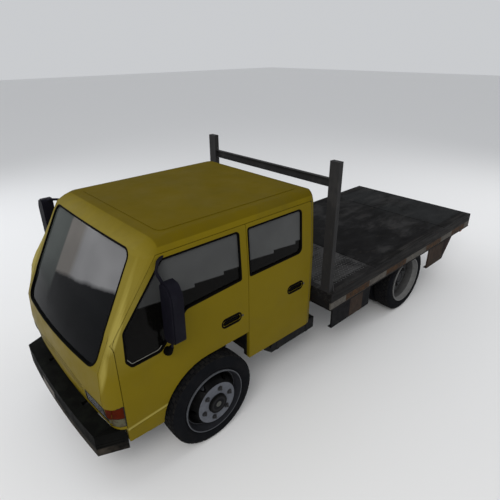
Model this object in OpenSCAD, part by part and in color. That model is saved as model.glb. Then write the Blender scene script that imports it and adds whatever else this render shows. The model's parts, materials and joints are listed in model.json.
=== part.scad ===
// Crew-cab flatbed truck: tilting cab with four doors, twin rear wheels and a flat deck.
// Millimetres, +Z up, front towards -Y, left side towards +X, origin on the ground
// under the middle of the bounding box.

/* [Truck] */
// Length from bumper to rear end of the deck
overall_length = 6420; // [6200:10:6900]
// Distance from bumper face to front axle
front_overhang = 1119; // [1110:1:1200]
// Distance between the axles
wheelbase = 3450; // [3350:10:3600]

/* [Wheels] */
// Tyre outer radius
tyre_radius = 470; // [450:1:472]
// Tyre section width
tyre_width = 240; // [220:1:245]
// Radius of the rim flange
rim_radius = 327; // [300:1:335]
// Half distance between the front wheel centres
front_track_half = 868; // [860:1:875]
// Half distance to the outer face of the twin rear tyres
rear_outer_half = 1036; // [1020:1:1038]
// Gap between twin rear tyres
twin_gap = 26; // [20:1:40]
// Distance from a kingpin out to the middle of its tyre
kingpin_offset = 68; // [64:1:72]

/* [Cab] */
// Thickness of the cab walls
wall = 40; // [36:1:46]
// Thickness of a door
door_t = 34; // [28:1:35]
// Thickness of the inner door frames
frame_t = 46; // [30:1:60]
// Gap around a closed door
door_gap = 6; // [5:0.5:8]
// Thickness of the window glass
glass_t = 6; // [4:1:8]
// Depth of the glass behind the outer skin
glass_set = 14; // [8:1:16]
// Height of the underside of the cab floor
floor_z = 712; // [708:1:720]
// Thickness of the cab floor
floor_t = 25; // [15:1:30]
// Underside of the raised floor over the front wheels
arch_z = 990; // [985:1:1000]
// Radius of the wheel opening in the front door
arch_r = 515; // [512:1:520]

/* [Frame] */
// Outer half width of the chassis frame
rail_half = 430; // [420:1:435]
// Width of a rail's flange
rail_w = 70; // [60:1:80]
// Height of a rail
rail_h = 160; // [150:1:165]
// Height of the rails' upper face
rail_top = 690; // [685:1:695]
// Thickness of the rail's steel
rail_t = 10; // [8:1:14]

/* [Deck] */
// Half width of the deck
deck_half = 1080; // [1075:1:1100]
// Height of the deck's upper face
deck_z = 1013; // [1008:1:1030]
// Thickness of the deck floor
deck_t = 22; // [15:1:30]
// Height of the deck's side rails
side_h = 217; // [190:1:230]
// Front edge of the deck behind the front axle
deck_front = 1599; // [1590:1:1620]
// Height of the headboard posts' tops
post_top = 2492; // [2400:1:2600]

/* [Motion at rest] */
// Forward pivot of the cab, behind the front axle
pivot_y = -1000; // [-1002:1:-996]
// Height of the cab's pivot
pivot_z = 625; // [620:1:628]

/* [Hidden] */
big = 4000;
hub_z = tyre_radius;
kingpin_half = front_track_half - kingpin_offset;
axle_y = front_overhang - overall_length / 2;
deck_rear = overall_length - front_overhang;
twin_x = rear_outer_half - tyre_width - twin_gap / 2;
rail_bottom = rail_top - rail_h;
rail_x = rail_half - rail_w;
seat = 0.3;
cab_rear = 1450;

// Moves what is drawn from the front axle's line into the truck's frame
module truck() { translate([0, axle_y, 0]) children(); }

// Copies to the right-hand side by reflection
module both() { children(); mirror([1, 0, 0]) children(); }

// Prism along X from an outline of [y, z] points
module side_prism(points, x0, x1) {
    translate([x0, 0, 0]) rotate([90, 0, 90]) linear_extrude(x1 - x0) polygon(points);
}

// Prism along Y from an outline of [x, z] points
module front_prism(points, y0, y1) {
    translate([0, y1, 0]) rotate([90, 0, 0]) linear_extrude(y1 - y0) polygon(points);
}

// Box from its lower and upper corners
module box(a, b) { translate(a) cube(b - a); }

// Cylinder along X
module rod_x(x0, x1, y, z, r) { translate([x0, y, z]) rotate([0, 90, 0]) cylinder(h = x1 - x0, r = r, $fn = 48); }

// Cylinder along Y
module rod_y(y0, y1, x, z, r) { translate([x, y0, z]) rotate([-90, 0, 0]) cylinder(h = y1 - y0, r = r, $fn = 48); }

// Outline with each corner [x, y, radius] rounded by an arc
function unit(v) = v / norm(v);
function rounded(pts, steps = 4) = [for (i = [0 : len(pts) - 1])
    let (n = len(pts), p = [pts[i][0], pts[i][1]], r = pts[i][2],
        a = unit([pts[(i + n - 1) % n][0], pts[(i + n - 1) % n][1]] - p),
        b = unit([pts[(i + 1) % n][0], pts[(i + 1) % n][1]] - p),
        half = acos(min(1, max(-1, a * b))) / 2, centre = p + unit(a + b) * r / sin(half),
        from = p + a * r / tan(half), to = p + b * r / tan(half))
    each (r == 0 ? [p] : [for (k = [0 : steps])
        centre + unit((from - centre) * (1 - k / steps) + (to - centre) * (k / steps)) * r])];

// Outline moved outwards by d where its points run anticlockwise
function grown(pts, d) = [for (i = [0 : len(pts) - 1])
    let (n = len(pts), p = pts[i], a = pts[(i + n - 1) % n], b = pts[(i + 1) % n],
        u = unit([p[1] - a[1], a[0] - p[0]]), v = unit([b[1] - p[1], p[0] - b[0]]), m = (u + v) * d / (1 + u * v))
    [p[0] + m[0], p[1] + m[1], p[2]]];

// Sections of the cab: height, front y at the middle, bow of the front, half width of the front
// face, half width at the doors, y where the door side starts, rear y
cab_sections = [
    [500, -950, 36, 800, 908, -844, 1450],
    [700, -972, 40, 803, 915, -844, 1450],
    [860, -1014, 46, 806, 918, -844, 1450],
    [1010, -1027, 50, 806, 918, -844, 1450],
    [1270, -1010, 50, 800, 918, -844, 1450],
    [1500, -893, 44, 793, 918, -844, 1450],
    [1560, -862, 38, 790, 917, -816, 1450],
    [1640, -818, 36, 786, 914, -770, 1450],
    [2100, -558, 18, 768, 884, -409, 1450],
    [2155, -527, 14, 755, 870, -372, 1449],
    [2188, -465, 13, 750, 852, -340, 1447],
    [2212, -400, 12, 740, 829, -300, 1443],
    [2222, -350, 12, 700, 790, -240, 1405]];
shoulder_z = 2110;
cab_bottom = 695;
rear_round = 45;

// One ring of the cab's skin, set in by t
function cab_half(s, t) =
    let (y0 = s[1] + t, xc = s[3] - 0.5 * t, hw = s[4] - t, yr = s[6] - t, y1 = y0 + s[2],
        yd = s[5] + 0.4 * t, dx = hw - xc, dy = yd - y1)
    concat(
        [for (i = [1 : 4]) [xc * i / 4, y0 + s[2] * pow(i / 4, 2)]],
        [for (k = [1 : 5]) let (u = k / 5, v = 1 - u)
            [xc * v * v + 2 * u * v * (xc + 0.78 * dx) + u * u * hw,
             y1 * v * v + 2 * u * v * (y1 + 0.22 * dy) + u * u * yd]],
        [[hw, yr - rear_round], [hw - 0.3 * rear_round, yr - 0.3 * rear_round], [hw - rear_round, yr]]);
function cab_ring(s, t) =
    let (right = cab_half(s, t), n = len(right), z = s[0] > shoulder_z ? s[0] - t : s[0])
    concat([[0, s[1] + t, z]], [for (p = right) [p[0], p[1], z]],
        [for (i = [n - 1 : -1 : 0]) [-right[i][0], right[i][1], z]]);

// Solid bounded by the cab's skin set in by t
module cab_solid(t) {
    rings = [for (s = cab_sections) cab_ring(s, t)];
    n = len(rings[0]);
    m = len(rings);
    polyhedron(
        points = [for (r = rings) each r],
        faces = concat(
            [[for (i = [0 : n - 1]) i]],
            [[for (i = [n - 1 : -1 : 0]) (m - 1) * n + i]],
            [for (k = [0 : m - 2]) for (i = [0 : n - 1]) let (j = (i + 1) % n)
                each (i < n / 2 ? [[k * n + i, (k + 1) * n + i, (k + 1) * n + j], [k * n + i, (k + 1) * n + j, k * n + j]]
                    : [[k * n + i, (k + 1) * n + i, k * n + j], [k * n + j, (k + 1) * n + i, (k + 1) * n + j]])]),
        convexity = 4);
}

// Space between the cab's skin set in by two depths
module cab_shell(t0, t1) {
    difference() {
        cab_solid(t0);
        cab_solid(t1);
    }
}

// Wall on the left side between two depths, flat behind the front doors' edges
module side_wall(t0, t1, y0, y1) {
    front_prism(concat([for (s = cab_sections) if (s[0] < 2160) [s[4] - t0, s[0]]],
        [for (i = [len(cab_sections) - 1 : -1 : 0]) let (s = cab_sections[i])
            if (s[0] < 2160) [s[4] - t1, s[0]]]), y0, y1);
}

// Outlines on the side of the cab, as [y, z, radius]
split_y = 503;
door_top = 2112;
door_rear = 1392;
// Front edge of the front doors, from the bottom up, as [y, z]
door_edge = [[-842, 534], [-842, 1500], [-814, 1560], [-768, 1640], [-398, door_top]];
arch_points = [for (a = [171 : -9 : 90]) [arch_r * cos(a), hub_z + arch_r * sin(a), 0]];
front_door = concat([[-508, 514, 10]], arch_points,
    [[split_y - door_gap / 2, hub_z + arch_r, 0], [split_y - door_gap / 2, door_top, 8]],
    [for (i = [len(door_edge) - 1 : -1 : 0]) [door_edge[i][0], door_edge[i][1], i == 0 ? 20 : 0]]);
rear_door = [[split_y + door_gap / 2, 655, 4], [door_rear, 641, 12], [door_rear, door_top, 20],
    [split_y + door_gap / 2, door_top, 8]];
front_window = [[412, 1608, 12], [412, 2062, 30], [-357, 2064, 40], [-750, 1600, 60], [-762, 1340, 40],
    [-722, 1278, 30], [-470, 1284, 60], [-190, 1574, 70]];
rear_window = [[530, 1606, 12], [1234, 1614, 50], [1234, 2062, 40], [530, 2062, 12]];
front_aperture = [[-785, 552, 30], [-560, 552, 30], [-560, 1040, 30], [445, 1040, 40], [445, 2066, 50],
    [-330, 2066, 40], [-775, 1560, 60]];
rear_aperture = [[565, 752, 40], [1340, 752, 50], [1340, 2066, 50], [565, 2066, 50]];
side_outline = [[-842, 536], [-520, 536], [-520, arch_z + 10], [split_y + 4, arch_z + 10],
    [split_y + 4, 660], [cab_rear, 655], [cab_rear, door_top + door_gap], [-440, door_top + door_gap],
    [-880, 1560], [-880, cab_bottom + 10], [-842, cab_bottom + 10]];
screen = [[-748, 1284, 85], [748, 1284, 85], [722, 2140, 70], [-722, 2140, 70]];
back_opening = [[-620, 1560, 70], [620, 1560, 70], [600, 2030, 70], [-600, 2030, 70]];

// What lies ahead of the front doors' edges
module ahead_of_doors() {
    side_prism(concat([[-1400, cab_bottom], [door_edge[0][0] - door_gap, cab_bottom]],
        [for (i = [1 : 3]) [door_edge[i][0] - door_gap, door_edge[i][1]]],
        [[door_edge[4][0] + 4 - door_gap, door_top + door_gap], [-1400, door_top + door_gap]]), -big, big);
}

// Creases pressed into the front: a double one low down and one up each corner beside the screen
crease_w = 5;
crease_depth = 3;
crease_z = 858;
corner_crease_x = 806;
module cab_front() color("gold") truck() difference() {
    intersection() {
        cab_shell(0, wall);
        ahead_of_doors();
    }
    front_prism(rounded(screen), -big, 0);
    both() headlamp_space();
    both() corner_space();
    difference() {
        union() {
            for (z = [crease_z, crease_z + 3 * crease_w]) box([-460, -1200, z], [460, -900, z + crease_w]);
            both() box([corner_crease_x, -1200, 950], [corner_crease_x + crease_w, -700, 1560]);
        }
        cab_solid(crease_depth);
    }
}

headlamp_face = [[530, 842, 10], [812, 770, 14], [806, 925, 14], [545, 958, 10]];
module headlamp_space() { front_prism(rounded(headlamp_face), -1100, -900); }
corner_face = [[-935, 716], [door_edge[0][0] - door_gap - 1, 726], [door_edge[0][0] - door_gap - 1, 942],
    [-935, 924]];
module corner_space() { side_prism(corner_face, 822, 1000); }

module headlamps() color("white") truck() intersection() {
    cab_shell(3, wall - 6);
    both() headlamp_space();
}

module corner_lamps() color("darkorange") truck() intersection() {
    cab_shell(3, wall - 6);
    both() corner_space();
}

roof_z = cab_sections[len(cab_sections) - 1][0];
panel_edge = 62;
panel_rise = 5;
module roof() color("goldenrod") truck() {
    difference() {
        intersection() {
            cab_shell(0, wall);
            box([-big, -big, door_top + door_gap], [big, big, 2300]);
        }
        front_prism(rounded(screen), -big, 0);
    }
    x = 790 - panel_edge;
    translate([0, 0, roof_z - 2]) linear_extrude(panel_rise + 2)
        polygon(rounded([[-x, panel_edge - 330, 60], [x, panel_edge - 330, 60], [x, 1405 - panel_edge, 60],
            [-x, 1405 - panel_edge, 60]]));
}

back_ribs = [880, 1080, 1280];
rib_h = 44;
rib_t = 6;
module cab_back() color("gold") truck() {
    difference() {
        intersection() {
            cab_shell(0, wall);
            box([-big, door_rear + door_gap, 645], [big, big, door_top + door_gap]);
        }
        front_prism(rounded(back_opening), 1000, 1600);
        box([-780, 1000, 0], [780, 1600, floor_z]);
    }
    for (z = back_ribs) side_prism([[cab_rear - 1, z - rib_h / 2], [cab_rear + rib_t, z - rib_h / 4],
        [cab_rear + rib_t, z + rib_h / 4], [cab_rear - 1, z + rib_h / 2]], -700, 700);
}

// Inner frame of the two doorways on the left with the raised seals the doors close on
seal_w = 12;
module cab_side() {
    difference() {
        intersection() {
            side_wall(wall, wall + frame_t, -900, cab_rear - wall - seat);
            side_prism(side_outline, 600, big);
            cab_solid(wall + seat);
        }
        side_prism(rounded(front_aperture), -big, big);
        side_prism(rounded(rear_aperture), -big, big);
    }
    for (a = [front_aperture, rear_aperture]) difference() {
        intersection() {
            side_wall(door_t + seat, wall + 1, -900, cab_rear - wall);
            side_prism(rounded(grown(a, seal_w)), 600, big);
        }
        side_prism(rounded(a), -big, big);
    }
}
module cab_sides() color("gold") truck() both() cab_side();

module cab_glass() color("slategray", 0.5) truck() {
    intersection() {
        cab_shell(glass_set, glass_set + glass_t);
        front_prism(rounded(grown(screen, -seat)), -big, 0);
    }
    front_prism(rounded(grown(back_opening, -seat)), cab_rear - glass_set - glass_t, cab_rear - glass_set);
}

// A door's skin with its window cut
handle_y = [288, 1163];
handle_z = 1222;
handle_half = 100;
handle_h = 46;
handle_depth = 16;
function handle_outline(y, dy, dz, r) = [[y - dy, handle_z - dz, r], [y + dy, handle_z - dz, r],
    [y + dy, handle_z + dz, r], [y - dy, handle_z + dz, r]];
sill_crease = [[-818, 660], [-395, 679], [-395, 679 + crease_w], [-818, 660 + crease_w]];
module door(outline, window, y, crease) {
    difference() {
        intersection() {
            side_wall(0, door_t, -860, 1440);
            side_prism(rounded(outline), 600, big);
        }
        side_prism(rounded(window), 600, big);
        intersection() {
            side_wall(-1, handle_depth, y - 200, y + 200);
            side_prism(rounded(handle_outline(y, handle_half, handle_h / 2, 20)), 600, big);
        }
        if (len(crease) > 0) intersection() {
            side_wall(-1, crease_depth, -860, 600);
            side_prism(crease, 600, big);
        }
    }
    intersection() {
        side_wall(2, 9, y - 200, y + 200);
        side_prism(rounded(handle_outline(y - 8, handle_half - 14, 11, 9)), 600, big);
    }
    intersection() {
        side_wall(2, handle_depth + 1, y - 200, y + 200);
        for (dy = [12 - handle_half, handle_half - 34]) box([600, y + dy, handle_z - 10], [big, y + dy + 12, handle_z + 10]);
    }
    intersection() {
        side_wall(-3, 1, y, y + 300);
        rod_x(600, big, y + handle_half + 34, handle_z - 4, 11);
    }
}
module door_front() color("gold") truck() door(front_door, front_window, handle_y[0], sill_crease);
module door_rear() color("gold") truck() door(rear_door, rear_window, handle_y[1], []);
module door_front_left() { door_front(); }
module door_front_right() { mirror([1, 0, 0]) door_front(); }
module door_rear_left() { door_rear(); }
module door_rear_right() { mirror([1, 0, 0]) door_rear(); }

// A door's glass, a hair smaller than its window
module door_glass(window) color("slategray", 0.5) truck() intersection() {
    side_wall(glass_set, glass_set + glass_t, -860, 1440);
    side_prism(rounded(window), 600, big);
}
module glass_front_left() { door_glass(front_window); }
module glass_front_right() { mirror([1, 0, 0]) door_glass(front_window); }
module glass_rear_left() { door_glass(rear_window); }
module glass_rear_right() { mirror([1, 0, 0]) door_glass(rear_window); }

// Bent bar through a list of points, as rings across it
function bar_ring(path, i, r, n) =
    let (t = unit(path[min(i + 1, len(path) - 1)] - path[max(i - 1, 0)]), u = unit(cross(t, [0, 1, 0])), v = cross(t, u))
    [for (k = [0 : n - 1]) path[i] + r * (cos(360 * k / n) * u + sin(360 * k / n) * v)];
module bent_bar(path, r, n = 10) {
    m = len(path);
    polyhedron(
        points = [for (i = [0 : m - 1]) each bar_ring(path, i, r, n)],
        faces = concat([[for (k = [0 : n - 1]) k]], [[for (k = [n - 1 : -1 : 0]) (m - 1) * n + k]],
            [for (i = [0 : m - 2]) for (k = [0 : n - 1]) let (j = (k + 1) % n)
                each [[i * n + k, (i + 1) * n + k, (i + 1) * n + j], [i * n + k, (i + 1) * n + j, i * n + j]]]));
}

mirror_head = [[958, 1415, 40], [1010, 1402, 10], [1112, 1430, 40], [1118, 1850, 60], [1070, 1935, 50],
    [962, 1945, 30]];
left_arm = [[870, -330, 2092], [905, -398, 2072], [936, -440, 2010], [985, -410, 1900]];
left_foot = [[905, -415, 1255], [960, -415, 1262], [1000, -410, 1320], [1012, -395, 1450]];
// The right mirror stands further forward and higher, so that the driver sees it through the windscreen
right_shift = [0, -150, 190];
right_arm = [[870, -330, 2082], [905, -385, 2092], [925, -450, 2120], [950, -515, 2128], [975, -535, 2110],
    [995, -540, 2075]];
right_foot = [[905, -560, 1255], [955, -560, 1262], [1000, -560, 1330], [1010, -545, 1640]];
module door_mirror(shift, arm, foot) color("dimgray") truck() {
    translate(shift) difference() {
        union() {
            front_prism(rounded(mirror_head), -430, -335);
            front_prism(rounded(grown(mirror_head, -8)), -445, -425);
        }
        front_prism(rounded(grown(mirror_head, -9)), -339, -330);
    }
    difference() {
        union() {
            bent_bar(arm, 13);
            bent_bar(foot, 11);
        }
        side_wall(-0.2, 60, -650, -300);
    }
}
module mirror_left() { door_mirror([0, 0, 0], left_arm, left_foot); }
module mirror_right() { mirror([1, 0, 0]) door_mirror(right_shift, right_arm, right_foot); }

floor_half = 828.7;
well_half = 822.7;
well_x = 690;
well_front = -830;
well_rear = -560;
well_z = 536;
well_t = 18;
hump_front = -550;
hump_rear = 532;
arm_x0 = 375;
arm_x1 = 415;
arm_r = 34;
pin_r = 15;
fit_gap = 0.1;
module cab_floor() color("darkgoldenrod") truck() {
    difference() {
        union() {
            intersection() {
                box([-floor_half, -960, floor_z], [floor_half, hump_front + 20, floor_z + floor_t]);
                cab_solid(wall + seat);
            }
            box([-floor_half, hump_front, floor_z], [floor_half, hump_front + floor_t, arch_z + floor_t]);
            box([-floor_half, hump_front, arch_z], [floor_half, hump_rear, arch_z + floor_t]);
            box([-floor_half, hump_rear - floor_t, floor_z], [floor_half, hump_rear, arch_z + floor_t]);
            box([-floor_half, hump_rear - floor_t, floor_z], [floor_half, cab_rear - wall - seat, floor_z + floor_t]);
        }
        both() box([well_x, well_front, floor_z - 1], [floor_half + 1, well_rear, floor_z + floor_t + 1]);
    }
    both() {
        difference() {
            box([well_x - well_t, well_front - well_t, well_z], [well_half, well_rear + well_t, floor_z + 1]);
            box([well_x, well_front, well_z + well_t], [floor_half, well_rear, floor_z + floor_t]);
        }
        difference() {
            union() {
                rod_x(arm_x0, arm_x1, pivot_y, pivot_z, arm_r);
                side_prism([[-880, floor_z + 5], [-900, floor_z + 5], [-905, cab_bottom - 6], [pivot_y - 10, pivot_z + arm_r - 2],
                    [pivot_y, pivot_z - arm_r + 1], [-880, floor_z - 22]], arm_x0, arm_x1);
            }
            rod_x(arm_x0 - 5, arm_x1 + 5, pivot_y, pivot_z, pin_r + fit_gap);
        }
    }
}

wheel_x = 420;
wheel_y = -610;
wheel_z = 1330;
wheel_tilt = -32;
module dashboard() color("dimgray") truck() {
    intersection() {
        cab_solid(wall + seat);
        side_prism([[-1100, 1010], [-790, 1010], [-700, 1100], [-720, 1210], [-850, 1262], [-1100, 1262]], -780, 780);
    }
    side_prism([[-880, 1200], [-730, 1200], [-738, 1290], [-800, 1312], [-860, 1285]], wheel_x - 170, wheel_x + 170);
    translate([wheel_x, wheel_y, wheel_z]) rotate([wheel_tilt, 0, 0])
        translate([0, 0, -260]) cylinder(h = 245 - seat, r = 30, $fn = 32);
}

module steering_wheel() color("black") truck()
    translate([wheel_x, wheel_y, wheel_z]) rotate([wheel_tilt, 0, 0]) {
        rotate_extrude($fn = 64) translate([205, 0]) circle(r = 14, $fn = 24);
        cylinder(h = 30, r = 60, center = true, $fn = 48);
        for (a = [0, 120, 240]) rotate([0, 0, a + 90]) translate([0, -14, -8]) cube([205, 28, 14]);
    }

// Seats as plain cushions and backs: x from, x to
front_seat_x = [[160, 700], [-700, -20]];
module seats() color("dimgray") truck() {
    for (x = front_seat_x) {
        box([x[0], -330, arch_z + floor_t + seat], [x[1], 140, arch_z + floor_t + 150]);
        translate([x[0], 130, arch_z + floor_t + seat]) rotate([-8, 0, 0]) translate([0, 0, 20]) cube([x[1] - x[0], 110, 620]);
    }
    box([-740, 870, floor_z + floor_t + seat], [740, 1300, floor_z + floor_t + 400]);
    box([-740, 1290, floor_z + floor_t + 200], [740, 1400, floor_z + floor_t + 920]);
}

// Bumper: a curved shell open below and behind, flat pads inside carry it on the frame's horns
bumper_half = 905;
bumper_bow = 33;
bumper_top = 687;
bumper_bottom = 470;
bumper_t = 30;
bumper_wrap = -850;
horn_front = -1070;
function bumper_front(half, y) = [for (i = [-5 : 5]) [i / 5 * half, y + bumper_bow * pow(i / 5, 2)]];
function bumper_outline(t) = concat(bumper_front(804 - t, t - front_overhang),
    [[bumper_half - t, bumper_wrap], [bumper_half - 60, bumper_wrap], [790, -930], [600, -950], [-600, -950],
    [-790, -930], [60 - bumper_half, bumper_wrap], [t - bumper_half, bumper_wrap]]);
module front_bumper() color("black") truck() {
    difference() {
        translate([0, 0, bumper_bottom]) linear_extrude(bumper_top - bumper_bottom) polygon(bumper_outline(0));
        translate([0, 0, bumper_bottom - 1]) linear_extrude(bumper_top - bumper_bottom - bumper_t + 1)
            polygon(concat(bumper_front(780, bumper_t - front_overhang), [[860, bumper_wrap + 10], [-860, bumper_wrap + 10]]));
        both() box([arm_x0 - 6, pivot_y - arm_r - 6, 600], [arm_x1 + 6, -900, 720]);
        side_prism([[bumper_wrap - 16, bumper_top + 1], [bumper_wrap, 610], [bumper_wrap + 20, 610],
            [bumper_wrap + 20, bumper_top + 1]], -big, big);
        difference() {
            union() {
                for (z = [560, 590]) box([-big, -big, z], [big, -880, z + crease_w]);
                both() box([800, -big, bumper_bottom + 10], [804, -960, bumper_top + 1]);
            }
            translate([0, 0, bumper_bottom - 1]) linear_extrude(bumper_top - bumper_bottom - 1) polygon(bumper_outline(crease_depth));
        }
    }
    both() box([350, -1095, 545], [440, horn_front - seat, 640]);
}

// Channel along X, open towards the front, or the rear where back is 1
module channel(half, y, w, z0, z1, t, back = 0) {
    difference() {
        box([-half, y, z0], [half, y + w, z1]);
        box([-half - 1, y - 1 + back * (t + 1), z0 + t], [half + 1, y + w - t + back * (t + 1), z1 - t]);
    }
}

// Chassis rail as a channel open towards the middle
module rail(y0, y1, z0, z1) {
    difference() {
        box([rail_x, y0, z0], [rail_half, y1, z1]);
        box([rail_x - 1, y0 - 1, z0 + rail_t], [rail_half - rail_t, y1 + 1, z1 - rail_t]);
    }
}
// Cross members of the frame: y, length along y, lower and upper height
gearbox_end = 920;
member_rows = [[-870, 70, 560, 620], [gearbox_end, 80, 590, 680], [1500, 80, 590, 680], [2300, 80, 580, 680],
    [wheelbase - 400, 80, 600, 680], [wheelbase + 400, 80, 600, 680], [deck_rear - 151, 80, 560, 680]];
spring_w = 64;
spring_front_x = rail_half - rail_w / 2 - 1;
spring_rear_x = rail_half + spring_w / 2 + 17;
clamp_side = 14;
spring_front_half = 560;
spring_rear_half = 600;
leaf = 11;
leaves = 5;
bow = 60;
beam_top = hub_z - 70;
spring_front_z = beam_top + seat + (leaves - 1) * leaf;
axle_r = 58;
spring_rear_z = hub_z + axle_r + seat + (leaves - 1) * leaf;
eye_r = 20;
bolt_r = 11;
cheek_t = 6;
function eye_z(z) = z + bow + leaf - eye_r;

// Hanger of a spring eye: two cheeks under the rail with a bolt through them
module hanger(x, y, z, top) {
    for (side = [-1, 1]) translate([x + side * (spring_w / 2 + 1 + cheek_t / 2), 0, 0])
        side_prism([[y - 38, top], [y - 22, z - 20], [y + 22, z - 20], [y + 38, top]], -cheek_t / 2, cheek_t / 2);
    rod_x(x - spring_w / 2 - 2 - cheek_t, x + spring_w / 2 + 2 + cheek_t, y, z, bolt_r);
}
module frame() color("dimgray") truck() {
    both() {
        rail(-880, deck_rear - 60, rail_bottom, rail_top);
        for (x = [rail_x, rail_half - 13]) box([x, horn_front, rail_bottom + 10], [x + 13, -875, 654]);
        rod_x(rail_x + 10, rail_half - 10, pivot_y, pivot_z, pin_r);
        box([rail_x + 5, 1345, rail_top - 1], [rail_half - 5, 1405, floor_z - seat]);
        for (y = [-spring_front_half, spring_front_half])
            hanger(spring_front_x, y, eye_z(spring_front_z), rail_bottom + 5);
        for (y = [-spring_rear_half, spring_rear_half]) {
            hanger(spring_rear_x, wheelbase + y, eye_z(spring_rear_z), rail_top - 30);
            box([rail_half - 1, wheelbase + y - 38, rail_top - 34],
                [spring_rear_x + spring_w / 2 + 1 + cheek_t, wheelbase + y + 38, rail_top - 5]);
        }
    }
}
member_t = 7;
module cross_members() color("dimgray") truck()
    for (m = member_rows) channel(rail_half - rail_t, m[0], m[1], m[2], m[3], member_t);

// Leaf pack in one outline: a bow whose leaves get shorter downwards in steps, rolled to an eye at each
// end, clamped to the axle below by two bolts a side between plates
spring_steps = 12;
clamp_t = 12;
function leaf_top(half, i) = [half * i / spring_steps, bow * pow(i / spring_steps, 2) + leaf];
function leaf_under(half) = [for (k = [0 : leaves - 1]) let (n = spring_steps - 2 * k, last = k == leaves - 1)
    for (i = [n : -1 : last ? 0 : n - 2]) leaf_top(half, i) - [0, (k + 1) * leaf]];
module leaf_pack(x, y, z, half, clamp_y, under_z) {
    under = leaf_under(half);
    difference() {
        union() {
            translate([x - spring_w / 2, y, z])
                side_prism(concat([for (i = [-spring_steps : spring_steps]) leaf_top(half, i)], under,
                    [for (i = [len(under) - 2 : -1 : 0]) [-under[i][0], under[i][1]]]), 0, spring_w);
            for (e = [-half, half]) rod_x(x - spring_w / 2, x + spring_w / 2, y + e, eye_z(z), eye_r);
        }
        for (e = [-half, half]) rod_x(x - spring_w, x + spring_w, y + e, eye_z(z), bolt_r + seat);
    }
    for (top = [z + leaf - 1, under_z - clamp_t])
        box([x - spring_w / 2 - clamp_side, y - clamp_y - clamp_side, top],
            [x + spring_w / 2 + clamp_side, y + clamp_y + clamp_side, top + clamp_t]);
    for (dx = [-1, 1]) for (dy = [-1, 1])
        translate([x + dx * (spring_w / 2 + 7), y + dy * clamp_y, under_z - clamp_t - 8])
            cylinder(h = z + leaf + clamp_t + 8 - under_z + clamp_t, r = 6.5, $fn = 24);
}
module leaf_springs() color("dimgray") truck() both() {
    leaf_pack(spring_front_x, 0, spring_front_z, spring_front_half, 46, hub_z - 140 - seat);
    leaf_pack(spring_rear_x, wheelbase, spring_rear_z, spring_rear_half, axle_r + 8, hub_z - axle_r - seat);
}

kingpin_r = 18;
boss_r = 42;
beam_half = 38;
module front_axle() color("dimgray") truck() difference() {
    k = kingpin_half;
    union() {
        front_prism([[-(k - 80), hub_z - 40], [-(k - 200), hub_z - 140], [k - 200, hub_z - 140], [k - 80, hub_z - 40],
            [k, hub_z - 30], [k, hub_z + 30], [k - 110, hub_z + 30], [k - 240, beam_top], [-(k - 240), beam_top],
            [-(k - 110), hub_z + 30], [-k, hub_z + 30], [-k, hub_z - 30]], -beam_half, beam_half);
        both() translate([k, 0, hub_z - 35]) cylinder(h = 70, r = boss_r, $fn = 48);
    }
    both() translate([k, 0, hub_z - 70]) cylinder(h = 140, r = kingpin_r + fit_gap, $fn = 48);
    for (side = [-1, 1]) box([-(k - 260), side > 0 ? beam_half - 22 : -beam_half - 1, hub_z - 126],
        [k - 260, side > 0 ? beam_half + 1 : 22 - beam_half, hub_z - 84]);
}

hub_r = 40;
housing_r = 158;
shaft_rise = 25;
pinion_y = wheelbase - 240;
rear_hub_end = twin_x + 135;
module rear_axle() color("dimgray") truck() {
    rod_x(-690, 690, wheelbase, hub_z, axle_r);
    translate([0, wheelbase, hub_z]) rotate([-90, 0, 0]) rotate_extrude($fn = 72)
        polygon([[0, -125], [80, -122], [135, -92], [housing_r, -60], [housing_r, 60], [135, 92], [80, 122], [0, 125]]);
    rod_x(-rear_hub_end, rear_hub_end, wheelbase, hub_z, hub_r);
    rod_y(pinion_y, wheelbase, 0, hub_z + shaft_rise, 62);
    both() rod_x(twin_x - 155, twin_x - 143, wheelbase, hub_z, 166);
}

module drive_shaft() color("dimgray") truck() {
    rod_y(gearbox_end + seat, pinion_y - seat, 0, hub_z + shaft_rise, 38);
    for (y = [gearbox_end + seat, pinion_y - 60]) rod_y(y, y + 60 - seat, 0, hub_z + shaft_rise, 58);
}

module engine() color("gray") truck() {
    box([-280, -400, 445], [280, 420, 950]);
    box([-170, 410, 450], [170, gearbox_end - seat, 580]);
    box([-170, 410, 570], [170, gearbox_end - 30, 700]);
    both() box([270, -60, 590], [rail_half - rail_t - seat, 60, 630]);
}

// Tank with two straps on brackets and a filler cap on its outer side
tank_x0 = 505;
tank_x1 = 862;
tank_y0 = 775;
tank_y1 = 1585;
tank_z0 = 482;
tank_z1 = 629;
strap_y = [960, 1440];
strap_w = 40;
strap_t = 3;
tank_outline = [[tank_y0, tank_z1], [tank_y0, tank_z0 + 88], [tank_y0 + 105, tank_z0], [tank_y1, tank_z0], [tank_y1, tank_z1]];
module fuel_tank() color("black") truck() {
    side_prism(tank_outline, tank_x0, tank_x1);
    for (y = strap_y) {
        box([tank_x0 - strap_t, y, tank_z0 - strap_t], [tank_x1 + strap_t, y + strap_w, tank_z1 + strap_t]);
        box([rail_half + seat, y, 560], [tank_x0 + 1, y + strap_w, 610]);
    }
    rod_x(tank_x1 - 1, tank_x1 + 22, tank_y0 + 110, tank_z1 - 50, 34);
}
module battery_box() color("black") truck() {
    box([-tank_x1, 900, 486], [-tank_x0, 1400, 600]);
    box([-tank_x1 - 5, 895, 596], [5 - tank_x0, 1405, 632]);
    for (y = [960, 1300]) box([-tank_x0 - 1, y, 540], [-rail_half - seat, y + 50, 590]);
}

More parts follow.
